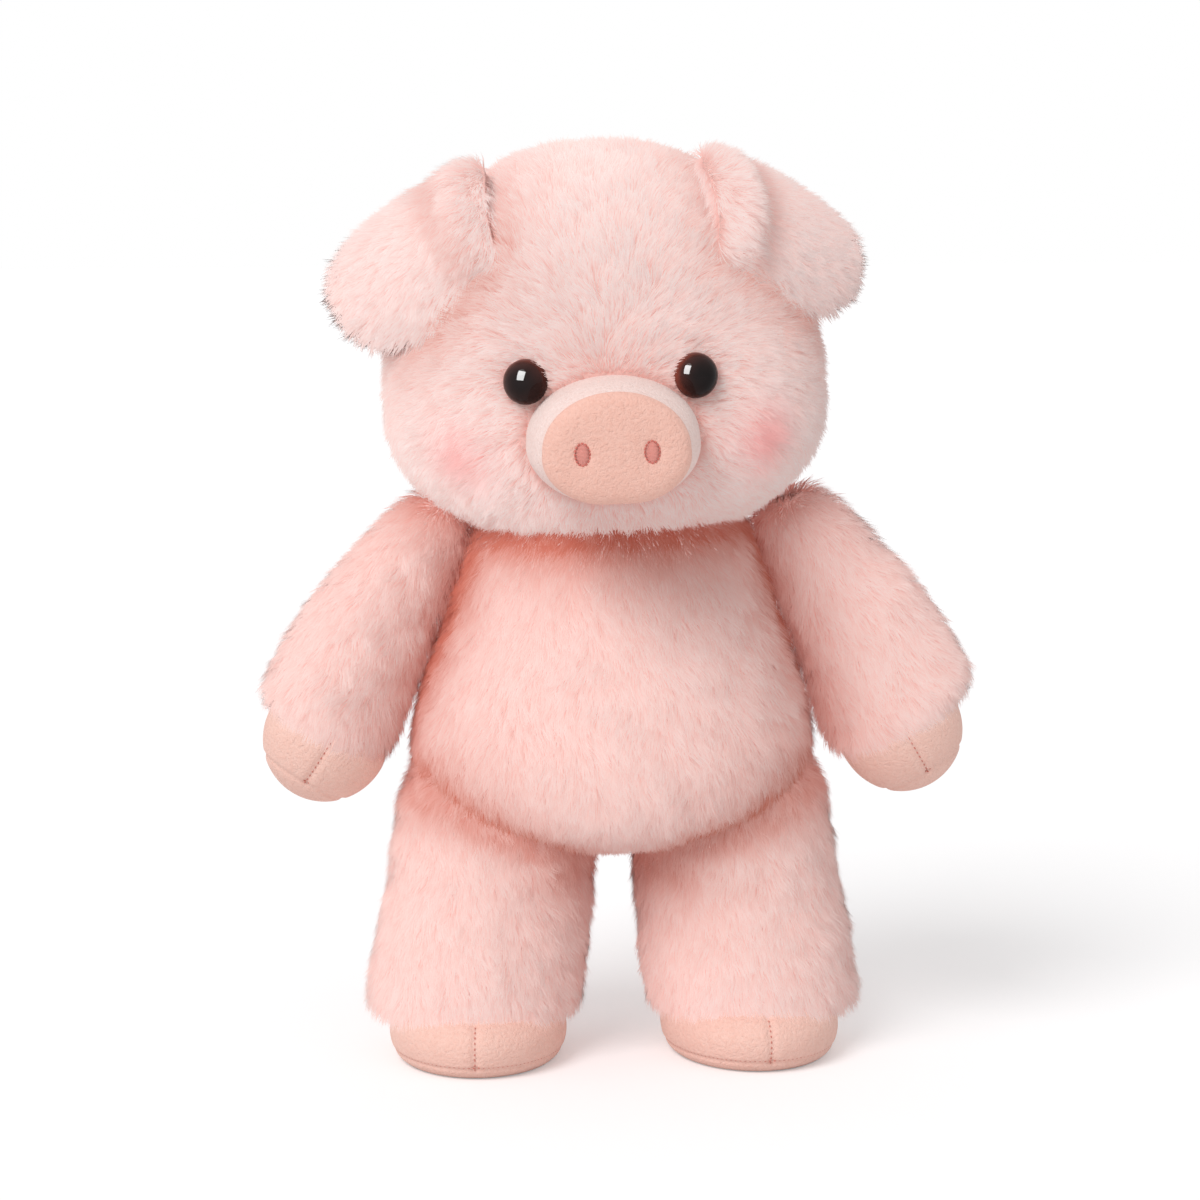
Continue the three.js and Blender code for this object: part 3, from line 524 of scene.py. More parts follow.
def tufts(places, spacing, seed):
    """The tuft of each strand. Space is cut into cubes with a random point in each, and a strand
    belongs to the nearest point of the eight cubes round it. Returns those points, and three
    random numbers that the strands of a tuft share."""
    base = np.floor(places / spacing - 0.5)
    nearest = np.full(len(places), np.inf)
    centres = np.zeros_like(places)
    shared = np.zeros_like(places)
    for step in itertools.product((0, 1), repeat=3):
        cell = base + np.array(step)
        spot = (cell + dice(cell, seed)) * spacing
        gap = np.sum((spot - places) ** 2, axis=1)
        nearer = gap < nearest
        nearest = np.where(nearer, gap, nearest)
        centres[nearer] = spot[nearer]
        shared[nearer] = dice(cell[nearer], seed + 1)
    return centres, shared


def drift(places, spacing, seed):
    """A smooth random direction at each place: random vectors at the corners of a lattice, mixed
    by how near the place is to each corner."""
    cell = np.floor(places / spacing)
    within = places / spacing - cell
    within = within**2 * (3 - 2 * within)
    total = np.zeros_like(places)
    for step in itertools.product((0, 1), repeat=3):
        corner = np.array(step)
        near = np.prod(np.where(corner, within, 1 - within), axis=1, keepdims=True)
        total += near * (dice(cell + corner, seed) * 2 - 1)
    return total


def scatter(grid, density, keep, rng):
    """Roots spread by area over a grid: a cell is drawn with a chance in proportion to its area
    times keep at its middle, and the root lies at a random place in it. Returns the roots and
    their normals."""
    normals = outward(grid)
    a, b, c, d = grid[:-1, :-1], grid[:-1, 1:], grid[1:, 1:], grid[1:, :-1]
    area = np.linalg.norm(np.cross(c - a, d - b), axis=-1) / 2
    weight = (area * keep((a + b + c + d) / 4)).ravel()
    count = int(weight.sum() * density * 1e6)
    cell = np.searchsorted(np.cumsum(weight), rng.random(count) * weight.sum())
    row, column = np.divmod(np.minimum(cell, weight.size - 1), grid.shape[1] - 1)
    u, v = rng.random((2, count, 1))

    def mixed(values):
        """Values kept by grid point, mixed by where each root lies in its cell."""
        low = values[row, column] * (1 - u) + values[row, column + 1] * u
        high = values[row + 1, column] * (1 - u) + values[row + 1, column + 1] * u
        return low * (1 - v) + high * v

    return mixed(grid), unit(mixed(normals))


def strands(roots, normals, flow, reach, rng, tuft_scale=1.0, lean_scale=1.0):
    """Strands of pile as bent blades. A strand leaves its root upright and leans over towards
    flow; its tip lies at the strand's length times the lean's sine along the surface and times
    its cosine above it, pulled towards the middle of its tuft. reach scales each strand's
    length. Returns the blades' points, five each, the direction that each blade is shaded by,
    which is its skin's normal, levelled where that looks down, with a little of its tuft's own
    turn, and its random number."""
    pile = pig().pile
    centres, shared = tufts(roots, pile.tuft * tuft_scale, pile.seed)
    waves = drift(roots, pile.tuft * 3.5, pile.seed + 5)
    way = unit(flow - normals * np.sum(flow * normals, axis=1, keepdims=True))
    cross = np.cross(normals, way)
    swing = waves[:, :1] * 0.5 + (shared[:, :1] - 0.5) * 0.6 + rng.normal(0, 0.16, (len(roots), 1))
    way = way * np.cos(swing) + cross * np.sin(swing)
    lean = pile.lean * lean_scale * (1 + waves[:, 1:2] * 0.14 + (shared[:, 1:2] - 0.5) * 0.16)
    lean = np.clip(lean + rng.normal(0, 0.07, lean.shape), 0.3, 1.35)
    length = pile.length * reach[:, None] * (1 + (shared[:, 2:3] - 0.5) * 0.24)
    length = length * (1 + rng.uniform(-0.16, 0.12, length.shape))
    pull = centres - roots
    pull = pull - normals * np.sum(pull * normals, axis=1, keepdims=True)
    tip = normals * np.cos(lean) + way * np.sin(lean)
    tip = roots + length * tip + pull * pile.gather
    middle = normals * np.cos(lean * 0.8) + way * np.sin(lean * 0.8)
    middle = roots + length * 0.55 * middle + pull * pile.gather * 0.42
    along = unit(tip - roots)
    flat = unit(np.cross(along, normals))
    twist = rng.uniform(-0.3, 0.3, (len(roots), 1))
    flat = flat * np.cos(twist) + np.cross(along, flat) * np.sin(twist)
    half = flat * pile.width / 2
    points = np.stack([roots - half, roots + half, middle + half * 0.85, middle - half * 0.85, tip], axis=1)
    lit = np.where(normals[:, 2:] < 0, normals * np.array([1, 1, 0.45]), normals)
    shine = unit(lit + (shared - 0.5) * 0.2 + rng.uniform(-0.1, 0.1, normals.shape))
    return points, shine, shared[:, 0] * 0.6 + rng.random(len(roots)) * 0.4


BLADE_CORNERS = np.array([0, 1, 2, 3, 3, 2, 4])
BLADE_STARTS = np.array([0, 4])
BLADE_RISE = np.array([0, 0, 0.55, 0.55, 1.0])
# Where a blade's seven corners lie in its own small square of the map, across and up
BLADE_MAP = np.array(
    [[0.1, 0.05], [0.9, 0.05], [0.9, 0.5], [0.1, 0.5], [0.1, 0.5], [0.9, 0.5], [0.5, 0.95]]
)
MOST_STRANDS = 64000


def pile_objects(name, points, shine, lot, deep, blush=None):
    """Pile as objects of at most MOST_STRANDS blades each, cut by the angle round the pig's
    middle. A blade is a four-sided face with a three-sided one on it, and has its own small
    square in a map, row by row. The stance kept for its material is the direction that it is
    shaded by with three quarters of its own face's direction added."""
    order = np.argsort(np.arctan2(points[:, 0, 1] - MIDDLE[1], points[:, 0, 0]), kind="stable")
    parts = np.array_split(order, math.ceil(len(points) / MOST_STRANDS))
    made = []
    for part_number, part in enumerate(parts, start=1):
        count = len(part)
        first = np.arange(count)[:, None]
        corners = (first * 5 + BLADE_CORNERS).ravel()
        starts = (first * len(BLADE_CORNERS) + BLADE_STARTS).ravel()
        label = f"{name}_{part_number}" if len(parts) > 1 else name
        thing = mesh_object(label, points[part].reshape(-1, 3), corners, starts)
        store(thing, "rise", np.tile(BLADE_RISE, count))
        store(thing, "lot", np.repeat(lot[part], 5))
        # deep is the share of painted crease shade that the material multiplies in, a little varied by
        # strand.
        store(thing, "deep", np.repeat(deep[part] * (1.25 - 0.5 * lot[part]), 5))
        if blush is not None:
            store(thing, "blush", np.repeat(blush[part], 5))
        across = math.ceil(math.sqrt(count))
        square = np.stack(np.divmod(first, across)[::-1], axis=-1)
        spots = (square + BLADE_MAP) / across
        layer = thing.data.uv_layers.new(name="OFBake")
        layer.uv.foreach_set("vector", np.ascontiguousarray(spots, np.float32).ravel())
        face = np.cross(points[part, 1] - points[part, 0], points[part, 3] - points[part, 0])
        stance = np.repeat(unit(shine[part] + 0.75 * unit(face)), 5, axis=0)
        store(thing, "stance", stance, "FLOAT_VECTOR")
        thing.data.normals_split_custom_set_from_vertices(np.repeat(shine[part], 5, axis=0))
        thing.visible_shadow = False
        thing.visible_diffuse = False
        made.append(thing)
    return made


def dress(thing, body, material, replaced=()):
    """Rides a piece on its body, and gives it its slot, its material, by name, and what it stands
    for."""
    thing.data.materials.clear()
    thing.data.materials.append(bpy.data.materials[material])
    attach(thing, body)
    if replaced:
        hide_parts(*replaced)


def plain_material(name, base, roughness, sheen=0.0, specular=0.3):
    """A material with its uniform numbers on the shader's own sockets. A packed finish of that
    name keeps its colour under another name."""
    if name in bpy.data.materials:
        bpy.data.materials[name].name = f"{name}_packed"
    material = bpy.data.materials.new(name)
    material.use_nodes = True
    nodes = material.node_tree.nodes
    shader = nodes["Principled BSDF"]
    shader.inputs["Base Color"].default_value = (*base, 1)
    shader.inputs["Roughness"].default_value = roughness
    shader.inputs["Specular IOR Level"].default_value = specular
    shader.inputs["Sheen Weight"].default_value = sheen
    shader.inputs["Sheen Roughness"].default_value = 0.45
    return material.node_tree, shader


def add(tree, kind, values, **settings):
    """A node with its settings. Each of its inputs in values is linked to an output or set."""
    node = tree.nodes.new(kind)
    for name, setting in settings.items():
        setattr(node, name, setting)
    for name, value in values.items():
        if isinstance(value, bpy.types.NodeSocket):
            tree.links.new(value, node.inputs[name])
        else:
            node.inputs[name].default_value = value
    return node


def read(tree, name):
    """A number kept at the points of the piece."""
    return add(tree, "ShaderNodeAttribute", {}, attribute_name=name).outputs["Fac"]


def ramp(tree, factor, stops):
    """Colours along a number from 0 to 1."""
    node = add(tree, "ShaderNodeValToRGB", {"Fac": factor})
    node.color_ramp.interpolation = "B_SPLINE" if len(stops) > 2 else "LINEAR"
    while len(node.color_ramp.elements) < len(stops):
        node.color_ramp.elements.new(0.5)
    for element, (position, tint) in zip(node.color_ramp.elements, stops):
        element.position = position
        element.color = (*tint, 1)
    return node.outputs["Color"]


def noise(tree, scale, detail, roughness=0.5):
    """Noise on the piece's own coordinates. scale is in grains to a metre."""
    places = add(tree, "ShaderNodeTexCoord", {}).outputs["Object"]
    values = {"Scale": scale, "Detail": detail, "Roughness": roughness, "Vector": places}
    return add(tree, "ShaderNodeTexNoise", values).outputs["Fac"]


def mixed_colour(tree, factor, first, second, kind="MIX"):
    """Two colours mixed by a factor. Each is an output or a plain colour."""
    values = {"Factor": factor}
    for socket, value in ((6, first), (7, second)):
        values[socket] = value if isinstance(value, bpy.types.NodeSocket) else (*value, 1)
    return add(tree, "ShaderNodeMix", values, data_type="RGBA", blend_type=kind).outputs[2]


def spread(tree, value, low, high):
    """A noise's middle range stretched to run from low to high."""
    values = {"From Min": 0.3, "From Max": 0.7, "To Min": low, "To Max": high, "Value": value}
    return add(tree, "ShaderNodeMapRange", values).outputs["Result"]


def bump(tree, shader, height, strength, distance):
    """Small relief from a height, on the shader's normal."""
    node = add(tree, "ShaderNodeBump", {"Strength": strength, "Distance": distance, "Height": height})
    tree.links.new(node.outputs["Normal"], shader.inputs["Normal"])


def pile_material(name, root, tip, crease, blush=None):
    """Pile: deep colour at the root and pale at the tip, the deep root partly the cloth's own colour
    and partly painted shade low in the pile, lighter and darker by strand and tuft, with slow
    patches, darkened by painted shade where forms meet, and a blush where the piece has one."""
    middle = tuple(np.array(root) * 0.42 + np.array(tip) * 0.58)
    tree, shader = plain_material(name, tip, 0.8, sheen=0.0, specular=0.0)
    # Root to tip: the darker root is partly painted shade among the strands.
    shade = ramp(tree, read(tree, "rise"), [(0.0, root), (0.5, middle), (1.0, tip)])
    lots = ramp(tree, read(tree, "lot"), [(0.0, (0.97, 0.85, 0.82)), (1.0, (1.0, 1.0, 1.0))])
    shade = mixed_colour(tree, 1.0, shade, lots, "MULTIPLY")
    patches = spread(tree, noise(tree, 38, 2), 0.0, 0.16)
    shade = mixed_colour(tree, patches, shade, middle)
    # Painted shade: the colour is multiplied towards the crease colour by the deep share, where forms meet.
    shade = mixed_colour(tree, read(tree, "deep"), shade, crease, "MULTIPLY")
    if blush is not None:
        shade = mixed_colour(tree, read(tree, "blush"), shade, blush)
    tree.links.new(shade, shader.inputs["Base Color"])
    lit_alike(tree, shader, shade)


def lit_alike(tree, shader, shade):
    """Lights a blade alike on both its faces, as a round strand is. The shader takes the light on
    the face that its stance points from, and a translucent one takes a third of the light that
    falls on the other face, by the same stance."""
    stance = add(tree, "ShaderNodeAttribute", {}, attribute_name="stance").outputs["Vector"]
    turning = {"vector_type": "NORMAL", "convert_from": "OBJECT", "convert_to": "WORLD"}
    turned_out = add(tree, "ShaderNodeVectorTransform", {"Vector": stance}, **turning).outputs["Vector"]
    tree.links.new(turned_out, shader.inputs["Normal"])
    opposite = add(tree, "ShaderNodeVectorMath", {0: turned_out, "Scale": -1.0}, operation="SCALE")
    dimmed = mixed_colour(tree, 1.0, shade, (0.34, 0.34, 0.34), "MULTIPLY")
    values = {"Color": dimmed, "Normal": opposite.outputs["Vector"]}
    through = add(tree, "ShaderNodeBsdfTranslucent", values).outputs["BSDF"]
    both = add(tree, "ShaderNodeAddShader", {0: shader.outputs["BSDF"], 1: through})
    tree.links.new(both.outputs["Shader"], tree.nodes["Material Output"].inputs["Surface"])


def mottled(name, base, dark_share, finish, grains, relief):
    """A finish mottled by one noise, towards the base times dark_share, with relief by the same
    noise. finish is its roughness, sheen and specular level."""
    tree, shader = plain_material(name, base, *finish)
    grain = noise(tree, *grains)
    dark = tuple(np.array(base) * dark_share)
    tree.links.new(mixed_colour(tree, spread(tree, grain, 0, 1), base, dark), shader.inputs["Base Color"])
    bump(tree, shader, grain, *relief)


def backing_material(name, base):
    """The knitted backing under the pile, mottled and matt."""
    mottled(name, base, 0.78, (0.9, 0.2, 0.1), (900, 3), (0.5, 0.0006))


def thread_material(name, base):
    """Twisted thread: fine bands across a slight sheen."""
    mottled(name, base, 0.72, (0.7, 0.1, 0.12), (4200, 3, 0.7), (0.6, 0.0003))


def filling_material(name, base):
    """Loose fibre filling: cloudy and matt."""
    mottled(name, base, 0.82, (0.95, 0.3, 0.1), (260, 5, 0.7), (0.8, 0.003))


def moulded_material(name, base, roughness):
    """Moulded plastic or board: faint mottling and a fine surface grain."""
    mottled(name, base, 0.9, (roughness, 0.0, 0.4), (700, 3), (0.15, 0.0002))


def nap_material(name, base, shade=0.86):
    """Short-nap cloth: a fine grain, soft brushed patches, a weave that shows through and a velvet
    sheen."""
    tree, shader = plain_material(name, base, 0.88, sheen=0.25, specular=0.06)
    shader.inputs["Sheen Tint"].default_value = (1.0, 0.86, 0.8, 1)
    deep = tuple(np.array(base) * np.array([shade + 0.06, shade, shade - 0.01]))
    ribs = tuple(np.array(base) * np.array([0.9, 0.76, 0.72]))
    grains = noise(tree, 2600, 4, 0.65)
    brushed = noise(tree, 120, 3, 0.6)
    weave = noise(tree, 820, 2, 0.75)
    tone = mixed_colour(tree, spread(tree, brushed, 0.0, 0.55), base, deep)
    tone = mixed_colour(tree, spread(tree, grains, 0.0, 0.6), tone, deep)
    tone = mixed_colour(tree, spread(tree, weave, 0.0, 0.6), tone, ribs)
    tree.links.new(tone, shader.inputs["Base Color"])
    bump(tree, shader, weave, 0.8, 0.0009)


def eye_material(name, middle, rim):
    """Polished eye plastic, black in the middle and dark brown where its edge lets light in."""
    tree, shader = plain_material(name, middle, 0.012, specular=0.12)
    tone = ramp(tree, read(tree, "edge"), [(0.0, middle), (0.84, middle), (1.0, rim)])
    cloud = spread(tree, noise(tree, 260, 2), 0.85, 1.15)
    node = add(tree, "ShaderNodeVectorMath", {0: tone, "Scale": cloud}, operation="SCALE")
    tree.links.new(node.outputs["Vector"], shader.inputs["Base Color"])


def head_matrix():
    """The head's tilt and turn, as a matrix."""
    head = pig().head
    return turned("Z", -head.turn) @ turned("Y", -head.tilt)


def in_head(points):
    """Points of the head's own frame in the pig's frame."""
    return placed(points, head_matrix(), NECK + [pig().head.aside, 0, 0])


def from_head(points):
    """Points of the pig's frame in the head's own frame, from the middle of its widest ring."""
    head = pig().head
    return (points - NECK - [head.aside, 0, 0]) @ head_matrix() - np.array([0, 0, head.widest_rise])


def head_level(local, inset=0):
    """0 in the middle of the head shrunk by inset and 1 on its surface, by the egg's formula."""
    head = pig().head
    height = np.where(local[..., 2] < 0, head.lower_height, head.upper_height) - inset
    depth = np.where(local[..., 1] < 0, head.front_depth, head.back_depth) - inset
    across = (local[..., 0] / (head.half_width - inset)) ** 2 + (local[..., 1] / depth) ** 2
    return across ** (head.squareness / 2) + np.abs(local[..., 2] / height) ** head.squareness


def rod_gap(points, start, end, start_radius, end_radius):
    """Distance of points from a rod whose radius changes evenly from its start to its end."""
    axis = end - start
    share = np.clip((points - start) @ axis / (axis @ axis), 0, 1)
    radius = start_radius + share * (end_radius - start_radius)
    return np.linalg.norm(points - start - share[..., None] * axis, axis=-1) - radius


def head_gap(points):
    """Distance of points from the head, along their line to the middle of its widest ring."""
    local = from_head(points)
    return (1 - head_level(local) ** (-1 / pig().head.squareness)) * np.linalg.norm(local, axis=-1)


def torso_level(points, inset=0):
    """The rise of points as a share of the torso's height, and how far out they lie as a share of
    its widest oval, both of the torso shrunk by inset."""
    torso = pig().torso
    rise = (points[..., 2] - torso.bottom - inset) / (torso.height - 2 * inset)
    y = points[..., 1] - MIDDLE[1]
    depth = np.where(y < 0, torso.front_depth, torso.back_depth) - inset
    return rise, np.hypot(points[..., 0] / (torso.half_width - inset), y / depth)


def torso_gap(points):
    """Distance of points from the torso: level, from the oval at their height, and upright, from
    its lowest and highest rings."""
    table = smooth(TORSO_SHARES, 96)
    rise, out = torso_level(points)
    level = out / np.interp(np.clip(rise, 0.04, 0.96), table[:, 0], table[:, 1])
    flat = (1 - 1 / np.maximum(level, 0.1)) * np.hypot(points[..., 0], points[..., 1] - MIDDLE[1])
    upright = np.maximum(np.maximum(-rise, rise - 1), 0) * pig().torso.height
    return np.hypot(np.maximum(flat, 0), upright)


def arm_gap(points, side):
    """Distance of points from a rod down the middle of an arm, thicker at its cuff."""
    arms = pig().arms
    ends = np.array([[0, 0, arms.top / 2], [SIDES[side] * arms.lean / 2, 0, -arms.length]])
    return rod_gap(points, *placed(ends, *arm_frame(side)), arms.half_depth * 0.6, arms.half_depth)


def leg_gap(points, side):
    """Distance of points from a rod as thick as a leg down its middle."""
    legs = pig().legs
    hip = leg_centre(side)
    foot = hip * np.array([1, 1, 0]) + [SIDES[side] * legs.lean, 0, legs.cuff]
    return rod_gap(points, hip, foot, legs.half_depth, legs.half_depth)


def crease_shade_share(*gaps):
    """The share of painted shade on the pile between two forms: 1 where they touch, fading with the
    distance.
    """
    return np.exp(-np.clip(np.min(gaps, axis=0), 0, None) / pig().pile.crease_fade)


def torso_grid(inset):
    """The torso shrunk by inset."""
    torso = pig().torso
    sizes = (torso.half_width, torso.front_depth, torso.back_depth, torso.bottom, torso.height)
    return loft(TORSO_SHARES, *sizes, 0, inset) + MIDDLE


def within_torso(points, inset):
    """Whether points lie inside the torso shrunk by inset: at their height, inside its oval."""
    table = smooth(TORSO_SHARES, 96)
    rise, out = torso_level(points, inset)
    return out < np.interp(rise, table[:, 0], table[:, 1], left=0, right=0)


def within_head(points, inset):
    """Whether points lie inside the head shrunk by inset."""
    return head_level(from_head(points), inset) < 1


def head_grid(inset):
    """The egg with its cheeks puffed out and a soft dip round each eye."""
    head, eyes = pig().head, pig().eyes
    cheek_drop, cheek_radius, dip_radius, dip_depth = 0.004, 0.028, 0.014, 0.0016
    grid = egg(head, inset)
    for sign in SIDES.values():
        cheek = np.array([sign * head.blush_side, -head.front_depth * 0.7, head.blush_rise - cheek_drop])
        grid = swollen(grid, cheek, cheek_radius, head.cheek)
        dip = np.array([sign * eyes.spacing / 2, -head.front_depth, eyes.rise])
        grid = swollen(grid, dip, dip_radius, -dip_depth)
    return grid


def face_reach(side, rise):
    """How far the head's front stands out at a place on its face, by the egg's formula."""
    head = pig().head
    height = head.lower_height if rise < head.widest_rise else head.upper_height
    climb = abs(rise - head.widest_rise) / height
    width = (1 - climb**head.squareness) ** (1 / head.squareness)
    return head.front_depth * width * math.sqrt(1 - (side / (head.half_width * width)) ** 2)


def eye_place(sign):
    """The matrix and place of an eye in the head's frame. Its own +Z looks out of the head."""
    eyes = pig().eyes
    across = sign * eyes.spacing / 2
    matrix = turned("Z", sign * eyes.outward) @ turned("X", math.pi / 2 - eyes.upward)
    foot = np.array([across, -face_reach(across, eyes.rise), eyes.rise])
    return matrix, foot - matrix[:, 2] * eyes.sink


def leg_centre(side):
    """The middle of a leg's round top."""
    return joint_place(f"{side}_leg_swing") + [pig().legs.left_out if side == "left" else 0, 0, 0]


def arm_frame(side):
    """The matrix and place of an arm's own frame, which hangs down its -Z."""
    arms, sign = pig().arms, SIDES[side]
    out = arms.left_out if side == "left" else 0
    return turned("Y", -sign * arms.slope), joint_place(f"{side}_arm_swing") + [sign * out, 0, 0]


def arm_grid(side, inset):
    """An arm shrunk by inset."""
    arms = pig().arms
    half_width = arms.left_half_width if side == "left" else arms.right_half_width
    sizes = (half_width, arms.half_depth, arms.half_depth, -arms.length, arms.length + arms.top)
    return placed(loft(ARM_SHARES, *sizes, SIDES[side] * arms.lean, inset), *arm_frame(side))


def leg_grid(side, inset):
    """A leg shrunk by inset."""
    legs, hip = pig().legs, leg_centre(side)
    height = hip[2] + legs.hip_radius - legs.cuff
    sizes = (legs.half_width, legs.half_depth, legs.half_depth, legs.cuff, height)
    return loft(LEG_SHARES, *sizes, SIDES[side] * legs.lean, inset) + np.array([hip[0], hip[1], 0])


def build_torso():
    """The padded skin of the torso and its pile, which flows down and a little outwards."""
    pile = pig().pile
    rng = np.random.default_rng(pile.seed)
    grid = torso_grid(pile.depth)
    skin = closed_object("torso_skin", grid)
    dress(skin, "torso", "backing", ("torso_fur",))

    def keep(points):
        """No roots where the head covers the torso."""
        return np.where(within_head(points, pile.depth * 1.6), 0, 1)

    roots, normals = scatter(grid, pile.density, keep, rng)
    flow = np.stack([roots[:, 0] * 4, (roots[:, 1] - MIDDLE[1]) * 2, np.full(len(roots), -1.0)], axis=1)
    belly_top, belly_fade = 0.095, 0.02
    reach = 1 - 0.25 * np.clip((belly_top - roots[:, 2]) / belly_fade, 0, 1)
    points, shine, lot = strands(roots, normals, flow, reach, rng)
    # Painted shade on the pile where the head, the arms and the legs meet the torso.
    gaps = [head_gap(roots)]
    gaps += [limb_gap(roots, side) for limb_gap in (arm_gap, leg_gap) for side in SIDES]
    for thing in pile_objects("torso_pile", points, shine, lot, crease_shade_share(*gaps)):
        dress(thing, "torso", "pile")


def eye_gap(points, matrix, place):
    """Distance of points of the head's frame from an eye's axis, and more than that where they
    lie deeper than the eye's socket."""
    socket = 0.012
    local = (points - place) @ matrix
    return np.hypot(local[..., 0], local[..., 1]) + np.maximum(-local[..., 2] - socket, 0)


def snout_gap(points):
    """0 on the snout's outline and 1 at twice its size, for points of the front of the head, and
    far for those of its back."""
    snout = pig().snout
    above = (points[..., 2] - snout.rise) / snout.half_height
    across = np.hypot(points[..., 0] / snout.half_width, above)
    return np.where(points[..., 1] < 0, across - 1, 9)


def brow_share(roots):
    """A bell round the middle of the brow, where the pile is shorter."""
    brow_rise, radius = 0.06, 0.024
    gap = roots - np.array([0, -pig().head.front_depth, brow_rise])
    return np.exp(-np.sum(gap**2, axis=1) / radius**2)


def blush_share(roots):
    """A bell round the middle of each cheek's blush, which is a little stronger on the left."""
    head = pig().head
    blush = np.zeros(len(roots))
    for sign in SIDES.values():
        rise = head.blush_rise + sign * head.blush_uneven
        spot = np.array([sign * head.blush_side, -head.front_depth * 0.78, rise])
        gap = np.sum((roots - spot) ** 2, axis=1)
        blush = np.maximum(blush, np.exp(-gap / head.blush_radius**2) * (1.2 if sign > 0 else 1))
    return blush * 0.82


def head_flow(roots):
    """The way that the head's pile lies: away from the snout in front and down at the sides, and
    back and down over the crown."""
    head = pig().head
    crown_start, crown_fade = 0.075, 0.03
    away = unit(roots - np.array([0, -head.front_depth, pig().snout.rise]))
    front = np.clip(-roots[:, 1:2] / head.front_depth, 0, 1)
    over = np.clip((roots[:, 2:3] - crown_start) / crown_fade, 0, 1)
    flow = away * (0.35 + front) + np.array([0, 0, -0.55]) * (1 - over)
    return flow + np.array([0, 0.5, -0.9]) * over * (1 - front)


def head_crease_shade(roots):
    """The share of painted shade on the head's pile at its ears, its snout, its brow, the torso and the
    arms.
    """
    ear_distance, snout_distance = 0.002, 0.007
    places = in_head(roots)
    gaps = [torso_gap(places)] + [arm_gap(places, side) for side in SIDES]
    at_snout = np.maximum(snout_gap(roots), 0) * 0.2 + snout_distance
    deep = crease_shade_share(ear_gap(places) + ear_distance, at_snout)
    return np.max([deep * 0.75, brow_share(roots) * 0.04, crease_shade_share(*gaps) * 0.25], axis=0)


def build_head():
    """The padded skin of the head and its pile, which is short round the eyes and the snout and
    stands more upright round the eyes."""
    pile, eyes = pig().pile, pig().eyes
    rng = np.random.default_rng(pile.seed + 1)
    grid = head_grid(pile.depth)
    skin = closed_object("head_skin", in_head(grid))
    dress(skin, "head", "backing", ("head_fur",))
    eye_spots = [eye_place(sign) for sign in SIDES.values()]
    eye_lap, eye_fade, eye_ring = 0.0003, 0.018, 0.005

    def keep(points):
        """No roots where the snout, an eye or the torso covers the head."""
        share = np.where(snout_gap(points) > 0.0, 1.0, 0.0)
        for matrix, place in eye_spots:
            share = np.where(eye_gap(points, matrix, place) < eyes.diameter / 2 - eye_lap, 0, share)
        return np.where(within_torso(in_head(points), pile.depth * 2), 0, share)

    roots, normals = scatter(grid, pile.density * 1.05, keep, rng)
    flow = head_flow(roots)
    reach, upright = np.ones(len(roots)), np.ones(len(roots))
    for matrix, place in eye_spots:
        gap = eye_gap(roots, matrix, place) - eyes.diameter / 2
        inner = np.clip(np.sum(unit(flow) * unit(place - roots), axis=1), 0, 1)
        reach = np.minimum(reach, np.clip(0.5 + 0.34 * inner + gap / eye_fade, 0.5, 1))
        upright = upright - (0.18 + 0.2 * inner) * np.exp(-((gap / eye_ring) ** 2))
    reach = np.minimum(reach, np.clip(0.4 + snout_gap(roots) / 0.6, 0.4, 1))
    reach = reach * (1 - 0.2 * brow_share(roots))
    points, shine, lot = strands(roots, normals, flow, reach, rng, lean_scale=upright[:, None])
    points, shine = in_head(points), shine @ head_matrix().T
    for thing in pile_objects("head_pile", points, shine, lot, head_crease_shade(roots), blush_share(roots)):
        dress(thing, "head", "head_pile")


def ear_frame(side):
    """The matrix and place of an ear's own frame in the pig's frame: +X runs out along the ear
    on the pig's left, and Y along the root."""
    ears, sign = pig().ears, SIDES[side]
    splay, droop = (getattr(ears, f"{side}_{name}") for name in ("splay", "droop"))
    matrix = turned("Z", sign * splay) @ turned("Y", sign * droop) @ turned("X", ears.facing)
    place = np.array([sign * ears.side, -ears.forward, ears.rise])
    return head_matrix() @ matrix, in_head(place)


def ear_grid(side, inset, rows=72, columns=96):
    """A flat oval loft along the ear. Across a section, the middle surface bends down with the
    square of the way to the edge and of the way to the tip, and the thickness is a sine. A bell
    along the root puffs it into a fold with a round edge, whose lower end leans outwards."""
    ears = pig().ears
    root_chord, corner = EAR_SHARES[0][1], 0.006
    table = smooth(((0, 0),) + EAR_SHARES, rows)
    along, chord = table[:, :1], np.maximum(table[:, 1:2], 0)
    angles = turns(columns)
    across = np.cos(angles)
    half = ears.half_chord - inset
    bend = ears.stand - ears.camber * (chord * across) ** 2 - ears.sag * along**2
    edge = 0.2 + 0.8 * np.sqrt(1 - np.clip(1 - along / 0.11, 0, 1) ** 2)
    puff = 0.85 + ears.fold * np.exp(-(((along - 0.12) / 0.1) ** 2))
    swell = ears.thickness / 2 * np.sin(angles) * np.minimum(1, chord * 2) * puff * edge
    length, turn = (getattr(ears, f"{side}_{name}") for name in ("length", "turn"))
    reach = (length + ears.fold_in - inset) * along - ears.fold_in
    reach = reach + (1 - along) * math.tan(turn) * half * (root_chord - chord * across)
    reach = reach + (1 - along) ** 3 * corner * np.clip(across * chord / root_chord, 0, 1) ** 4
    lower = half * chord * across - ears.fold_shift * (1 - along)
    return surface(SIDES[side] * reach, lower, bend + swell)


def ear_gap(points):
    """Distance of points from the nearest of a few places on the ears, less half their padding."""
    half_padding = 0.003
    gap = np.full(len(points), np.inf)
    for side in SIDES:
        flap = placed(ear_grid(side, 0, 12, 16), *ear_frame(side))
        for spot in flap.reshape(-1, 3):
            gap = np.minimum(gap, np.sum((points - spot) ** 2, axis=1))
    return np.maximum(np.sqrt(gap) - half_padding, 0)


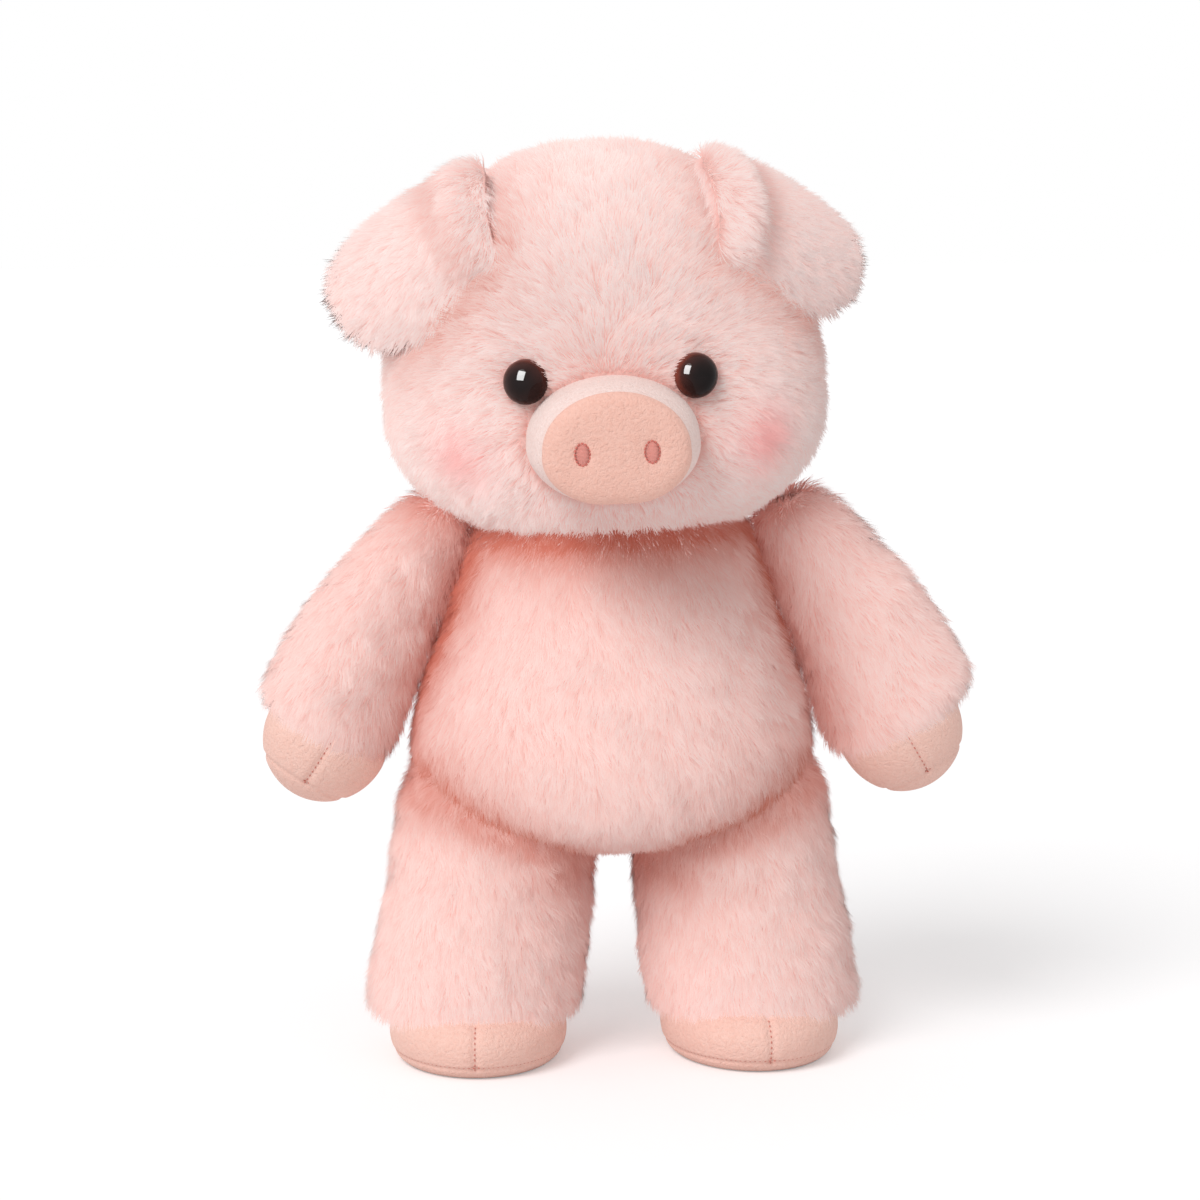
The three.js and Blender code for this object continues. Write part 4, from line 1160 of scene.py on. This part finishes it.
def build_ears():
    """Each ear: a padded flap with a fold along its root. Its pile is short on both faces and
    stands out round the edge."""
    pile, ears = pig().pile, pig().ears
    hidden_depth, rim_span, valley_at, valley_width, root_span = 0.004, 0.03, 0.021, 0.006, 0.012
    for side, sign in SIDES.items():
        rng = np.random.default_rng(pile.seed + 2)
        matrix, place = ear_frame(side)
        flap = ear_grid(side, ears.pile)
        skin = closed_object(f"{side}_ear_skin", placed(flap, matrix, place))
        body = f"{side}_ear"
        replaced = (f"{side}_ear_outer", f"{side}_ear_inner")
        dress(skin, body, "backing", replaced)

        def keep(points):
            """No roots inside the head."""
            return np.where(within_head(placed(points, matrix, place), hidden_depth), 0, 1.0)

        roots, normals = scatter(flap, pile.density * 1.3, keep, rng)
        out = sign * roots[:, 0] + ears.fold_in
        rim = np.sqrt(np.clip(1 - np.abs(normals[:, 2]), 0, 1)) * np.clip(out / rim_span, 0.45, 1)
        # Painted shade in the valley between the fold and the flap, passed on as the pile's deep share.
        valley_shade = np.exp(-(((out - valley_at) / valley_width) ** 2)) * (1 - rim) * 0.4
        edge = rim[:, None]
        outwards = normals * np.array([1.0, 1.0, 0.3])
        flow = np.array([sign, -0.25, -0.15]) * (1.1 - edge) + outwards * edge
        points, shine, lot = strands(roots, normals, flow, 0.78 + 0.2 * rim, rng, 0.9, 1 - 0.35 * edge)
        lift = np.clip(1.5 - out / root_span, 0, 1)[:, None]
        shine = unit(shine * (1 - 0.6 * lift) + lift * np.array([0, -0.2, 0.7])) @ matrix.T
        for thing in pile_objects(f"{side}_ear_pile", placed(points, matrix, place), shine, lot, valley_shade):
            dress(thing, body, "ear_pile")


def build_limb(name, seed_step, grid, keep, flow_down, outward_share, crease_shade_weight, gaps):
    """A limb: a padded sleeve, and pile that flows down it and hangs over its end. keep says where
    roots may lie, and gaps are functions of how far the neighbouring forms are, near which the
    pile gets painted shade."""
    pile = pig().pile
    rng = np.random.default_rng(pile.seed + seed_step)
    skin = closed_object(f"{name}_skin", grid)
    dress(skin, name, "backing", (f"{name}_fur",))
    roots, normals = scatter(grid, pile.density, keep, rng)
    flow = np.tile(flow_down, (len(roots), 1)) + normals * np.array([outward_share, outward_share, 0])
    points, shine, lot = strands(roots, normals, flow, np.ones(len(roots)), rng)
    # Painted shade near the neighbouring forms, scaled by the limb's weight.
    deep = crease_shade_share(*(gap(roots) for gap in gaps)) * crease_shade_weight
    for thing in pile_objects(f"{name}_pile", points, shine, lot, deep):
        dress(thing, name, "pile")


def build_arms():
    """Each arm: a padded sleeve whose pile flows down to the cuff and hangs over it."""
    covered, cap_height = pig().pile.depth * 1.7, 0.012
    for side in SIDES:
        matrix = arm_frame(side)[0]
        hand = hand_middle(side)

        def keep(points):
            """No roots where the hand, the torso or the head covers the arm."""
            local = (points - hand) @ matrix
            inner = np.hypot(local[..., 0], local[..., 1]) < pig().arms.hand_half_depth * 0.8
            capped = inner & (local[..., 2] < cap_height)
            return np.where(within_torso(points, covered) | within_head(points, covered) | capped, 0, 1.0)

        grid = arm_grid(side, pig().pile.depth)
        build_limb(f"{side}_arm", 3, grid, keep, -matrix[:, 2], 0.25, 0.68, (head_gap, torso_gap))


def build_legs():
    """Each leg: a padded sleeve with a round top, whose pile flows down and hangs over the foot."""
    pile, legs = pig().pile, pig().legs
    cap_height = 0.012
    for side, other in (("left", "right"), ("right", "left")):
        middle = leg_centre(side) + np.array([SIDES[side] * legs.lean, 0, 0])

        def keep(points):
            """No roots where the foot or the torso covers the leg."""
            gap = np.hypot(points[..., 0] - middle[0], points[..., 1] - middle[1])
            capped = (gap < legs.foot_half_width * 0.75) & (points[..., 2] < legs.cuff + cap_height)
            return np.where(within_torso(points, pile.depth * 1.7) | capped, 0, 1.0)

        def other_gap(points):
            """Distance of points from the other leg."""
            return leg_gap(points, other)

        grid = leg_grid(side, pile.depth)
        build_limb(f"{side}_leg", 4, grid, keep, [0, 0, -1.0], 0.3, 0.62, (torso_gap, other_gap))


def hand_middle(side):
    """The middle of a hand hoof's widest ring."""
    arms = pig().arms
    tuck = 0.001
    return placed(np.array([SIDES[side] * arms.hand_lean, 0, -arms.length + tuck]), *arm_frame(side))


def creased(grid, gap, depth, width):
    """A grid drawn in along its normals beside a seam: by depth on the seam, fading as a bell
    over width. gap is each point's distance from the seam."""
    fade = np.exp(-((gap / width) ** 2))
    return grid - outward(grid) * depth * fade[..., None]


def hoof_shell(hoof, grid, split_gap, sole_gap, body):
    """A hoof's short-nap cloth, drawn in along the split between its toes and round its sole."""
    split_depth, split_width, sole_depth, sole_width = 0.0010, 0.0011, 0.0006, 0.0008
    grid = creased(grid, split_gap, split_depth, split_width)
    shell = closed_object(f"{hoof}_hoof", creased(grid, sole_gap, sole_depth, sole_width))
    replaced = tuple(f"{hoof}_{part}" for part in ("toe_inner", "toe_outer", "sole"))
    dress(shell, body, "hoof_nap", replaced)


def stitches(name, path, normals, length, width, body, slot="thread", material="thread"):
    """A row of stitches: at each point of a path, a small bead drawn out along the path. A bead
    is an oval of half circles, with the path's direction, the surface's normal and their cross
    product as its axes."""
    rings, columns = 4, 6
    along = unit(np.gradient(path, axis=0))
    beside = np.cross(along, normals)
    climb = climbs(rings + 2)
    angles = turns(columns)[:, :-1]
    thick = width / 2 * np.cos(climb)
    shape = surface(length / 2 * np.sin(climb), thick * np.cos(angles), thick * np.sin(angles))
    inner = shape[1:-1].reshape(-1, 3)
    bead = np.concatenate([inner, shape[:1, 0], shape[-1:, 0]])
    axes = np.stack([along, beside, normals], axis=1)
    points = path[:, None, :] + np.einsum("pk,nkj->npj", bead, axes)
    quads, fans = skin_faces(rings, columns)
    bead_corners, bead_starts = face_arrays(quads[:, ::-1], fans[:, ::-1])
    step = (np.arange(len(path)) * len(bead))[:, None]
    corners = (step + bead_corners).ravel()
    starts = ((np.arange(len(path)) * bead_corners.size)[:, None] + bead_starts).ravel()
    thing = mesh_object(name, points.reshape(-1, 3), corners, starts)
    dress(thing, body, material)


def even_steps(path, spacing):
    """Points at even steps along a path, with which a row of stitches is laid."""
    steps = np.linalg.norm(np.diff(path, axis=0), axis=1)
    reach = np.concatenate([[0], np.cumsum(steps)])
    count = max(int(reach[-1] / spacing), 2)
    spots = np.linspace(0, reach[-1], count)
    return np.stack([np.interp(spots, reach, path[:, axis]) for axis in range(3)], axis=1)


def build_hands():
    """Each hand hoof: an oval of revolution, longer below its widest ring, with a split down its
    front and back and a seam round its sole."""
    arms = pig().arms
    sole = -arms.hand_tip + arms.hand_sole
    split_top, seam_lift = 0.002, 0.0007
    for side in SIDES:
        climb = climbs(97)
        angles = turns(128)
        length = np.where(climb < 0, arms.hand_tip, arms.hand_inside)
        x = arms.hand_half_width * np.cos(climb) * np.cos(angles)
        y = arms.hand_half_depth * np.cos(climb) * np.sin(angles)
        grid = surface(x, y, length * np.sin(climb))
        above = np.maximum(sole - grid[..., 2], 0)
        split = np.hypot(grid[..., 0], above * 3)
        matrix = arm_frame(side)[0]
        place = hand_middle(side)
        shell = placed(grid, matrix, place)
        hoof_shell(f"{side}_hand", shell, split, grid[..., 2] - sole, f"{side}_arm")
        rise = np.linspace(split_top, sole, 60)
        round_share = np.sqrt(1 - np.where(rise < 0, rise / arms.hand_tip, rise / arms.hand_inside) ** 2)
        front = surface(0, -arms.hand_half_depth * round_share, rise)
        seam_angle = np.linspace(0, 2 * np.pi, 200)
        ring = math.sqrt(1 - (sole / arms.hand_tip) ** 2)
        x = arms.hand_half_width * ring * np.cos(seam_angle)
        y = arms.hand_half_depth * ring * np.sin(seam_angle)
        around = surface(x, y, sole + seam_lift)
        lay_stitches(f"{side}_hand", front, around, matrix, place, f"{side}_arm")


def lay_stitches(hoof, front, around, matrix, place, body):
    """The stitches of a hoof: a row down the split in front and a row round the sole."""
    spacing, length, width = 0.0017, 0.0009, 0.0005
    for part, path, sunk in (("split", front, 0.0008), ("sole", around, 0.0004)):
        spots = even_steps(path, spacing)
        normals = unit(spots * np.array([1, 1, 0.6]))
        spots = placed(spots - normals * sunk, matrix, place)
        stitches(f"{hoof}_{part}_stitches", spots, normals @ matrix.T, length, width, body)


def build_feet():
    """Each foot hoof: a flat-soled form, widest a little above the floor, with a split in front
    and a seam round its sole."""
    legs = pig().legs
    split_end, seam_lift, no_split = 0.006, 0.0008, 0.02
    for side, sign in SIDES.items():
        sizes = (legs.foot_half_width, legs.foot_half_depth, legs.foot_half_depth, 0, legs.foot_height, 0)
        grid = loft(FOOT_SHARES, *sizes, 0, rows=120, columns=160)
        grid[..., 2] = np.maximum(grid[..., 2], 0)
        below = np.maximum(legs.foot_sole - grid[..., 2], 0)
        split = np.hypot(grid[..., 0], below) + np.where(grid[..., 1] < 0, 0, no_split)
        matrix = turned("Z", sign * legs.foot_splay)
        hip = leg_centre(side)
        place = np.array([hip[0] + sign * legs.foot_outward, MIDDLE[1] - legs.foot_forward, 0])
        shell = placed(grid, matrix, place)
        hoof_shell(f"{side}_foot", shell, split, grid[..., 2] - legs.foot_sole, f"{side}_leg")
        front = grid[:, 120]
        front = front[(front[:, 2] > legs.foot_sole) & (front[:, 2] < legs.cuff + split_end)]
        lower_half = grid[: len(grid) // 2, 0, 2]
        row = int(np.argmin(np.abs(lower_half - legs.foot_sole - seam_lift)))
        lay_stitches(f"{side}_foot", front, grid[row], matrix, place, f"{side}_leg")


def eye_shape():
    """An eye: a quarter of an oval, from its edge up to the middle of its dome, turned about Z,
    with a flat foot. Also returns each ring's share of the radius."""
    eyes = pig().eyes
    foot = [[-0.001], [-0.001]]
    climb = np.linspace(0, np.pi / 2, 32)[:, None]
    radius = np.concatenate([[[0.0], [0.92]], np.cos(climb)]) * eyes.diameter / 2
    radius[-1] = 0
    height = np.concatenate([foot, eyes.dome * np.sin(climb)])
    angles = turns(64)
    grid = surface(radius * np.cos(angles), radius * np.sin(angles), height)
    return grid, np.clip(np.linalg.norm(grid[..., :2], axis=-1) / (eyes.diameter / 2), 0, 1)


def build_eyes():
    """Both eyes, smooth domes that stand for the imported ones."""
    for side, sign in SIDES.items():
        grid, edge = eye_shape()
        thing = closed_object(f"{side}_eye_dome", in_head(placed(grid, *eye_place(sign))))
        rings = edge[1:-1, :-1].ravel()
        store(thing, "edge", np.concatenate([rings, [0, 0]]))
        dress(thing, "head", "eye", (f"{side}_eye",))


def snout_ring(share, reach):
    """Rings of the snout's oval at a share of its half sizes and a reach, with two lobes below:
    the lower edge is lifted in its middle by a narrow bell. Towards the face the oval narrows
    and drops with the square of the way."""
    snout = pig().snout
    angles = turns(160)
    down = np.maximum(0, -np.sin(angles))
    flatten = 1 - 0.05 * down**6
    notch = snout.lip_notch * down**24 * share
    seam = snout.reach - snout.setback
    onward = np.clip((reach - snout.root) / (seam - snout.root), 0, 1) ** 2
    x = snout.half_width * share * np.cos(angles) * (1 + 0.12 * down * (1 - down))
    z = snout.rise + snout.half_height * share * np.sin(angles) * flatten + notch
    return surface(x * (1 - snout.face_narrow * onward), -reach, z - snout.face_drop * onward)


def ring_middle(grid, row):
    """The middle of a grid's row, repeated as a ring that closes the grid."""
    return np.repeat(grid[row].mean(axis=0)[None, None], grid.shape[1], axis=1)


def nostril_place(sign):
    """The middle of a nostril, straight behind which the face is dimpled."""
    snout = pig().snout
    return np.array([sign * snout.nostril_spacing / 2, 0, snout.rise - snout.nostril_drop])


def build_snout():
    """The snout: a band that leaves the head, a face with a rounded edge and dimpled nostrils,
    and the stitches of the seam between them."""
    snout = pig().snout
    seam = snout.reach - snout.setback
    table = smooth(BAND_SHARES, 60)
    grid = snout_ring(table[:, 1:2], snout.root + (seam - snout.root) * table[:, :1])
    ends = ring_middle(grid, 0), ring_middle(grid, -1)
    band = closed_object("snout_band_cloth", in_head(np.concatenate([ends[0], grid, ends[1]])))
    dress(band, "head", "band_nap", ("snout_band",))

    table = smooth(FACE_SHARES, 90)
    table[-1, 1] = 0
    face_gap, face_bulge, dimple, rim = 0.0003, 0.0006, 0.0008, 0.0004
    reach = seam + face_gap + (snout.setback + face_bulge) * table[:, :1]
    grid = snout_ring(np.maximum(table[:, 1:2], 0), reach)
    for sign in SIDES.values():
        gap = (grid - nostril_place(sign)) / np.array([snout.nostril_width, 1, snout.nostril_height]) * 2
        gap = np.hypot(gap[..., 0], gap[..., 2])
        grid[..., 1] += np.exp(-((gap / 1.7) ** 2)) * dimple + rim / (1 + np.exp((gap - 1.05) * 14))
    face = closed_object("snout_face_cloth", in_head(np.concatenate([ring_middle(grid, 0), grid])))
    dress(face, "head", "snout_nap", ("snout_face",))

    seam_share, seam_back, spacing, length, width, sunk = 0.885, 0.0005, 0.0016, 0.0008, 0.00045, 0.0001
    ring = snout_ring(np.array([[seam_share]]), np.array([[seam - seam_back]]))[0]
    spots = even_steps(ring, spacing)
    normals = unit(spots * np.array([1, 0, 1]) - np.array([0, 0, snout.rise]))
    path = in_head(spots - normals * sunk)
    stitches("snout_seam_stitches", path, normals @ head_matrix().T, length, width, "head")
    for side in SIDES:
        build_nostril(side)


def build_nostril(side):
    """A nostril's satin stitches: threads laid side by side across an oval, each a thin bead as
    long as the oval is wide there, and a ring of stitches round them."""
    snout = pig().snout
    sunk, belly, count = 0.0001, 0.0005, 16
    spot = nostril_place(SIDES[side]) - np.array([0, snout.reach - sunk, 0])
    rises = (np.arange(count) + 0.5) / count * 2 - 1
    climb = climbs(9)
    angles = turns(8)
    thick = snout.nostril_height / count * 0.62
    threads = []
    for rise, half in zip(rises, np.sqrt(1 - rises**2) * snout.nostril_width / 2):
        y = thick * np.cos(climb) * np.cos(angles) - belly * (1 - rise**2) * np.cos(climb)
        z = thick * np.cos(climb) * np.sin(angles) + rise * snout.nostril_height / 2
        bead = surface(half * np.sin(climb), y, z)
        threads.append(closed_object("satin", in_head(bead + spot)))
    thing = joined(f"{side}_nostril_satin", threads)
    dress(thing, "head", "nostril", (f"{side}_nostril",))

    ring_share, ring_front, spacing, length, width = 1.04, 0.0002, 0.0011, 0.0010, 0.0006
    around = np.linspace(0, 2 * np.pi, 120)
    x = snout.nostril_width / 2 * ring_share * np.cos(around)
    z = snout.nostril_height / 2 * ring_share * np.sin(around)
    spots = even_steps(surface(x, -ring_front, z), spacing)
    normals = np.tile([0, -1.0, 0], (len(spots), 1)) @ head_matrix().T
    kind = ("nostril_thread", "nostril_ring")
    stitches(f"{side}_nostril_ring", in_head(spots + spot), normals, length, width, "head", *kind)


def joined(name, things):
    """Several objects as one."""
    meshes = [thing.data for thing in things]
    with bpy.context.temp_override(active_object=things[0], selected_editable_objects=things):
        bpy.ops.object.join()
    things[0].name = name
    things[0].data.name = name
    for mesh in meshes[1:]:
        if mesh.users == 0:
            bpy.data.meshes.remove(mesh)
    return things[0]


def build_back_seam():
    """The closing seam: a row of stitches on the skin, down the middle of the back, low in the
    pile."""
    torso = pig().torso
    spacing, length, width, raised = 0.0035, 0.0026, 0.0008, 0.0006
    grid = torso_grid(pig().pile.depth)
    line = grid[:, grid.shape[1] // 4]
    low = torso.seam_height - torso.seam_length / 2
    line = line[(line[:, 2] > low) & (line[:, 2] < low + torso.seam_length)]
    spots = even_steps(line, spacing)
    normals = np.tile([0, 1.0, 0], (len(spots), 1))
    stitches("back_seam_stitches", spots + normals * raised, normals, length, width, "torso")
    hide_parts("torso_back_seam")


def build_materials():
    """Every finish of the pig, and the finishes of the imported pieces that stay."""
    tones = pig().colours
    pile_material("pile", tones.pile_root, tones.pile_tip, tones.crease)
    pile_material("head_pile", tones.pile_root, tones.head_tip, tones.crease, tones.blush)
    pile_material("ear_pile", tones.pile_root, tones.ear_tip, tones.crease)
    backing_material("backing", tones.backing)
    nap_material("hoof_nap", tones.hoof)
    nap_material("snout_nap", tones.snout)
    nap_material("band_nap", tones.band, 0.93)
    thread_material("thread", tones.thread)
    thread_material("nostril", tones.nostril)
    thread_material("nostril_ring", tones.nostril_ring)
    eye_material("eye", tones.eye, tones.eye_rim)
    filling_material("filling", tones.filling)
    moulded_material("washer", (0.8, 0.78, 0.74), 0.5)
    moulded_material("board", (0.68, 0.62, 0.52), 0.75)
    moulded_material("pellet_bag", (0.8, 0.76, 0.7), 0.9)
    kinds = {
        "_filling": "filling", "_washer": "washer", "_board": "board", "_pellets": "pellet_bag",
        "_seam": "thread",
    }
    for name, node in frame["nodes"].items():
        for ending, material in kinds.items():
            if name.endswith(ending):
                node.data.materials.clear()
                node.data.materials.append(bpy.data.materials[material])


def build_stage():
    """The floor, the sky, the lamps and the camera at the photograph's angle."""
    stage = pig().stage
    aim_forward = 0.005
    aim = np.array([stage.aim_side, MIDDLE[1] - aim_forward, stage.aim_height])
    build_floor(stage)
    build_sky(stage)
    build_lamps(stage, aim)
    build_camera(stage, aim)
    bpy.context.scene.view_settings.view_transform = "Standard"


def build_floor(stage):
    """A pale floor, which glows as white as the backdrop where the camera sees it."""
    side = 4.0
    corners = np.array([[-side, -side, 0], [side, -side, 0], [side, side, 0], [-side, side, 0]])
    floor = mesh_object("floor", corners, np.arange(4), np.array([0]))
    material = bpy.data.materials.new("floor_white")
    material.use_nodes = True
    tree = material.node_tree
    tree.nodes.clear()
    seen_ray = plainly_seen(tree)
    paint = add(tree, "ShaderNodeBsdfDiffuse", {"Color": (0.85, 0.845, 0.85, 1)})
    seen = add(tree, "ShaderNodeMath", {0: seen_ray, 1: stage.floor_white}, operation="MULTIPLY")
    glow = add(tree, "ShaderNodeEmission", {"Strength": seen.outputs["Value"]})
    both = add(tree, "ShaderNodeAddShader", {0: paint.outputs["BSDF"], 1: glow.outputs["Emission"]})
    add(tree, "ShaderNodeOutputMaterial", {"Surface": both.outputs["Shader"]})
    floor.data.materials.append(material)


def build_lamps(stage, aim):
    """A main lamp from the upper left and a small lamp that only the eyes show."""
    lamp = staged("key_lamp", bpy.data.lights.new("key_lamp", "SUN"))
    lamp.data.energy = stage.key
    lamp.data.angle = stage.key_spread
    back = towards(stage.key_azimuth, stage.key_elevation)
    lamp.matrix_world = looking(aim + back, back)
    gleam_width, gleam_height, gleam_distance = 0.46, 0.6, 0.9
    gleam = staged("gleam_lamp", bpy.data.lights.new("gleam_lamp", "AREA"))
    gleam.data.energy = stage.gleam
    gleam.data.shape = "RECTANGLE"
    gleam.data.size = gleam_width
    gleam.data.size_y = gleam_height
    polished = bpy.data.collections.new("polished")
    for side in SIDES:
        polished.objects.link(bpy.data.objects[f"{side}_eye_dome"])
    gleam.light_linking.receiver_collection = polished
    back = towards(stage.gleam_azimuth, stage.gleam_elevation)
    gleam.matrix_world = looking(aim + back * gleam_distance, back)


def build_camera(stage, aim):
    """The camera, at the photograph's angle and distance from the point that it aims at."""
    camera = staged("camera", bpy.data.cameras.new("camera"))
    camera.data.sensor_width = 36
    camera.data.lens = stage.lens
    back = towards(stage.azimuth, stage.elevation)
    camera.matrix_world = looking(aim + back * stage.distance, back)
    bpy.context.scene.camera = camera


def staged(name, data):
    """A lamp or camera, linked to the scene."""
    thing = bpy.data.objects.new(name, data)
    bpy.context.scene.collection.objects.link(thing)
    return thing


def plainly_seen(tree):
    """1 for what is seen directly, in a polished surface or through a clear one, else 0."""
    rays = add(tree, "ShaderNodeLightPath", {}).outputs
    total = rays["Is Camera Ray"]
    for kind in ("Is Glossy Ray", "Is Transmission Ray"):
        larger = add(tree, "ShaderNodeMath", {0: total, 1: rays[kind]}, operation="MAXIMUM")
        total = larger.outputs["Value"]
    return total


def build_sky(stage):
    """An even sky, white to the camera."""
    world = bpy.data.worlds.new("sky")
    bpy.context.scene.world = world
    world.use_nodes = True
    tree = world.node_tree
    tree.nodes.clear()
    span = {"Value": plainly_seen(tree), "To Min": stage.sky, "To Max": 1.0}
    strength = add(tree, "ShaderNodeMapRange", span).outputs["Result"]
    light = add(tree, "ShaderNodeBackground", {"Color": (1, 1, 1, 1), "Strength": strength})
    add(tree, "ShaderNodeOutputWorld", {"Surface": light.outputs["Background"]})


def looking(place, back):
    """The matrix of a lamp or camera at a place, whose +Z points back from what it looks at."""
    back = unit(back)
    right = unit(np.cross(UP, back))
    matrix = np.identity(4)
    matrix[:3, :3] = np.stack([right, np.cross(back, right), back], axis=1)
    matrix[:3, 3] = place
    return Matrix(matrix.tolist())


def towards(azimuth, elevation):
    """The direction from the pig to a place at an azimuth, from straight ahead, and elevation."""
    flat = math.cos(elevation)
    return np.array([math.sin(azimuth) * flat, -math.cos(azimuth) * flat, math.sin(elevation)])


class PLUSHPIG_OT_materials(bpy.types.Operator):
    """Makes the cloths, threads and plastics of the pig."""

    bl_idname = "plush_pig.materials"
    bl_label = "Materials"

    def execute(self, context):
        build_materials()
        return {"FINISHED"}


class PLUSHPIG_OT_torso(bpy.types.Operator):
    """Builds the torso's skin and pile."""

    bl_idname = "plush_pig.torso"
    bl_label = "Torso"

    def execute(self, context):
        build_torso()
        return {"FINISHED"}


class PLUSHPIG_OT_back_seam(bpy.types.Operator):
    """Sews the closing seam in the back."""

    bl_idname = "plush_pig.back_seam"
    bl_label = "Back seam"

    def execute(self, context):
        build_back_seam()
        return {"FINISHED"}


class PLUSHPIG_OT_head(bpy.types.Operator):
    """Builds the head's skin and pile."""

    bl_idname = "plush_pig.head"
    bl_label = "Head"

    def execute(self, context):
        build_head()
        return {"FINISHED"}


class PLUSHPIG_OT_eyes(bpy.types.Operator):
    """Sets the two safety eyes."""

    bl_idname = "plush_pig.eyes"
    bl_label = "Eyes"

    def execute(self, context):
        build_eyes()
        return {"FINISHED"}


class PLUSHPIG_OT_snout(bpy.types.Operator):
    """Builds the snout and its nostrils."""

    bl_idname = "plush_pig.snout"
    bl_label = "Snout"

    def execute(self, context):
        build_snout()
        return {"FINISHED"}


class PLUSHPIG_OT_ears(bpy.types.Operator):
    """Builds the two ears and their pile."""

    bl_idname = "plush_pig.ears"
    bl_label = "Ears"

    def execute(self, context):
        build_ears()
        return {"FINISHED"}


class PLUSHPIG_OT_arms(bpy.types.Operator):
    """Builds the arms' skins and pile."""

    bl_idname = "plush_pig.arms"
    bl_label = "Arms"

    def execute(self, context):
        build_arms()
        return {"FINISHED"}


class PLUSHPIG_OT_hands(bpy.types.Operator):
    """Builds the hooves of the arms."""

    bl_idname = "plush_pig.hands"
    bl_label = "Hands"

    def execute(self, context):
        build_hands()
        return {"FINISHED"}


class PLUSHPIG_OT_legs(bpy.types.Operator):
    """Builds the legs' skins and pile."""

    bl_idname = "plush_pig.legs"
    bl_label = "Legs"

    def execute(self, context):
        build_legs()
        return {"FINISHED"}


class PLUSHPIG_OT_feet(bpy.types.Operator):
    """Builds the hooves of the legs."""

    bl_idname = "plush_pig.feet"
    bl_label = "Feet"

    def execute(self, context):
        build_feet()
        return {"FINISHED"}


class PLUSHPIG_OT_stage(bpy.types.Operator):
    """Sets the floor, the light and the camera."""

    bl_idname = "plush_pig.stage"
    bl_label = "Stage"

    def execute(self, context):
        build_stage()
        return {"FINISHED"}


PIECES = (
    PLUSHPIG_OT_materials, PLUSHPIG_OT_torso, PLUSHPIG_OT_back_seam, PLUSHPIG_OT_head,
    PLUSHPIG_OT_eyes, PLUSHPIG_OT_snout, PLUSHPIG_OT_ears, PLUSHPIG_OT_arms, PLUSHPIG_OT_hands,
    PLUSHPIG_OT_legs, PLUSHPIG_OT_feet, PLUSHPIG_OT_stage,
)
GROUPS = (
    PigPile, PigTorso, PigHead, PigEyes, PigSnout, PigEars, PigArms, PigLegs, PigColours, PigStage,
    PlushPig,
)


class PLUSHPIG_PT_panel(bpy.types.Panel):
    """The pig's sizes, colours and pieces, in the sidebar."""

    bl_idname = "PLUSHPIG_PT_panel"
    bl_label = "Plush Pig"
    bl_space_type = "VIEW_3D"
    bl_region_type = "UI"
    bl_category = "Plush Pig"

    def draw(self, context):
        settings = context.scene.plush_pig
        for group_name in settings.__annotations__:
            box = self.layout.box()
            box.label(text=group_name.capitalize())
            group = getattr(settings, group_name)
            for field in group.__annotations__:
                box.prop(group, field)
        for piece in PIECES:
            self.layout.operator(piece.bl_idname)


def register():
    """Makes the groups, the operators and the panel known, and gives the scene its settings."""
    for kind in (*GROUPS, *PIECES, PLUSHPIG_PT_panel):
        bpy.utils.register_class(kind)
    bpy.types.Scene.plush_pig = PointerProperty(type=PlushPig)


def unregister():
    """Takes back what register does, in the opposite order."""
    del bpy.types.Scene.plush_pig
    for kind in reversed((*GROUPS, *PIECES, PLUSHPIG_PT_panel)):
        bpy.utils.unregister_class(kind)


def main():
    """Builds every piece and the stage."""
    register()
    for piece in PIECES:
        group, name = piece.bl_idname.split(".")
        getattr(getattr(bpy.ops, group), name)()


if __name__ == "__main__":
    main()
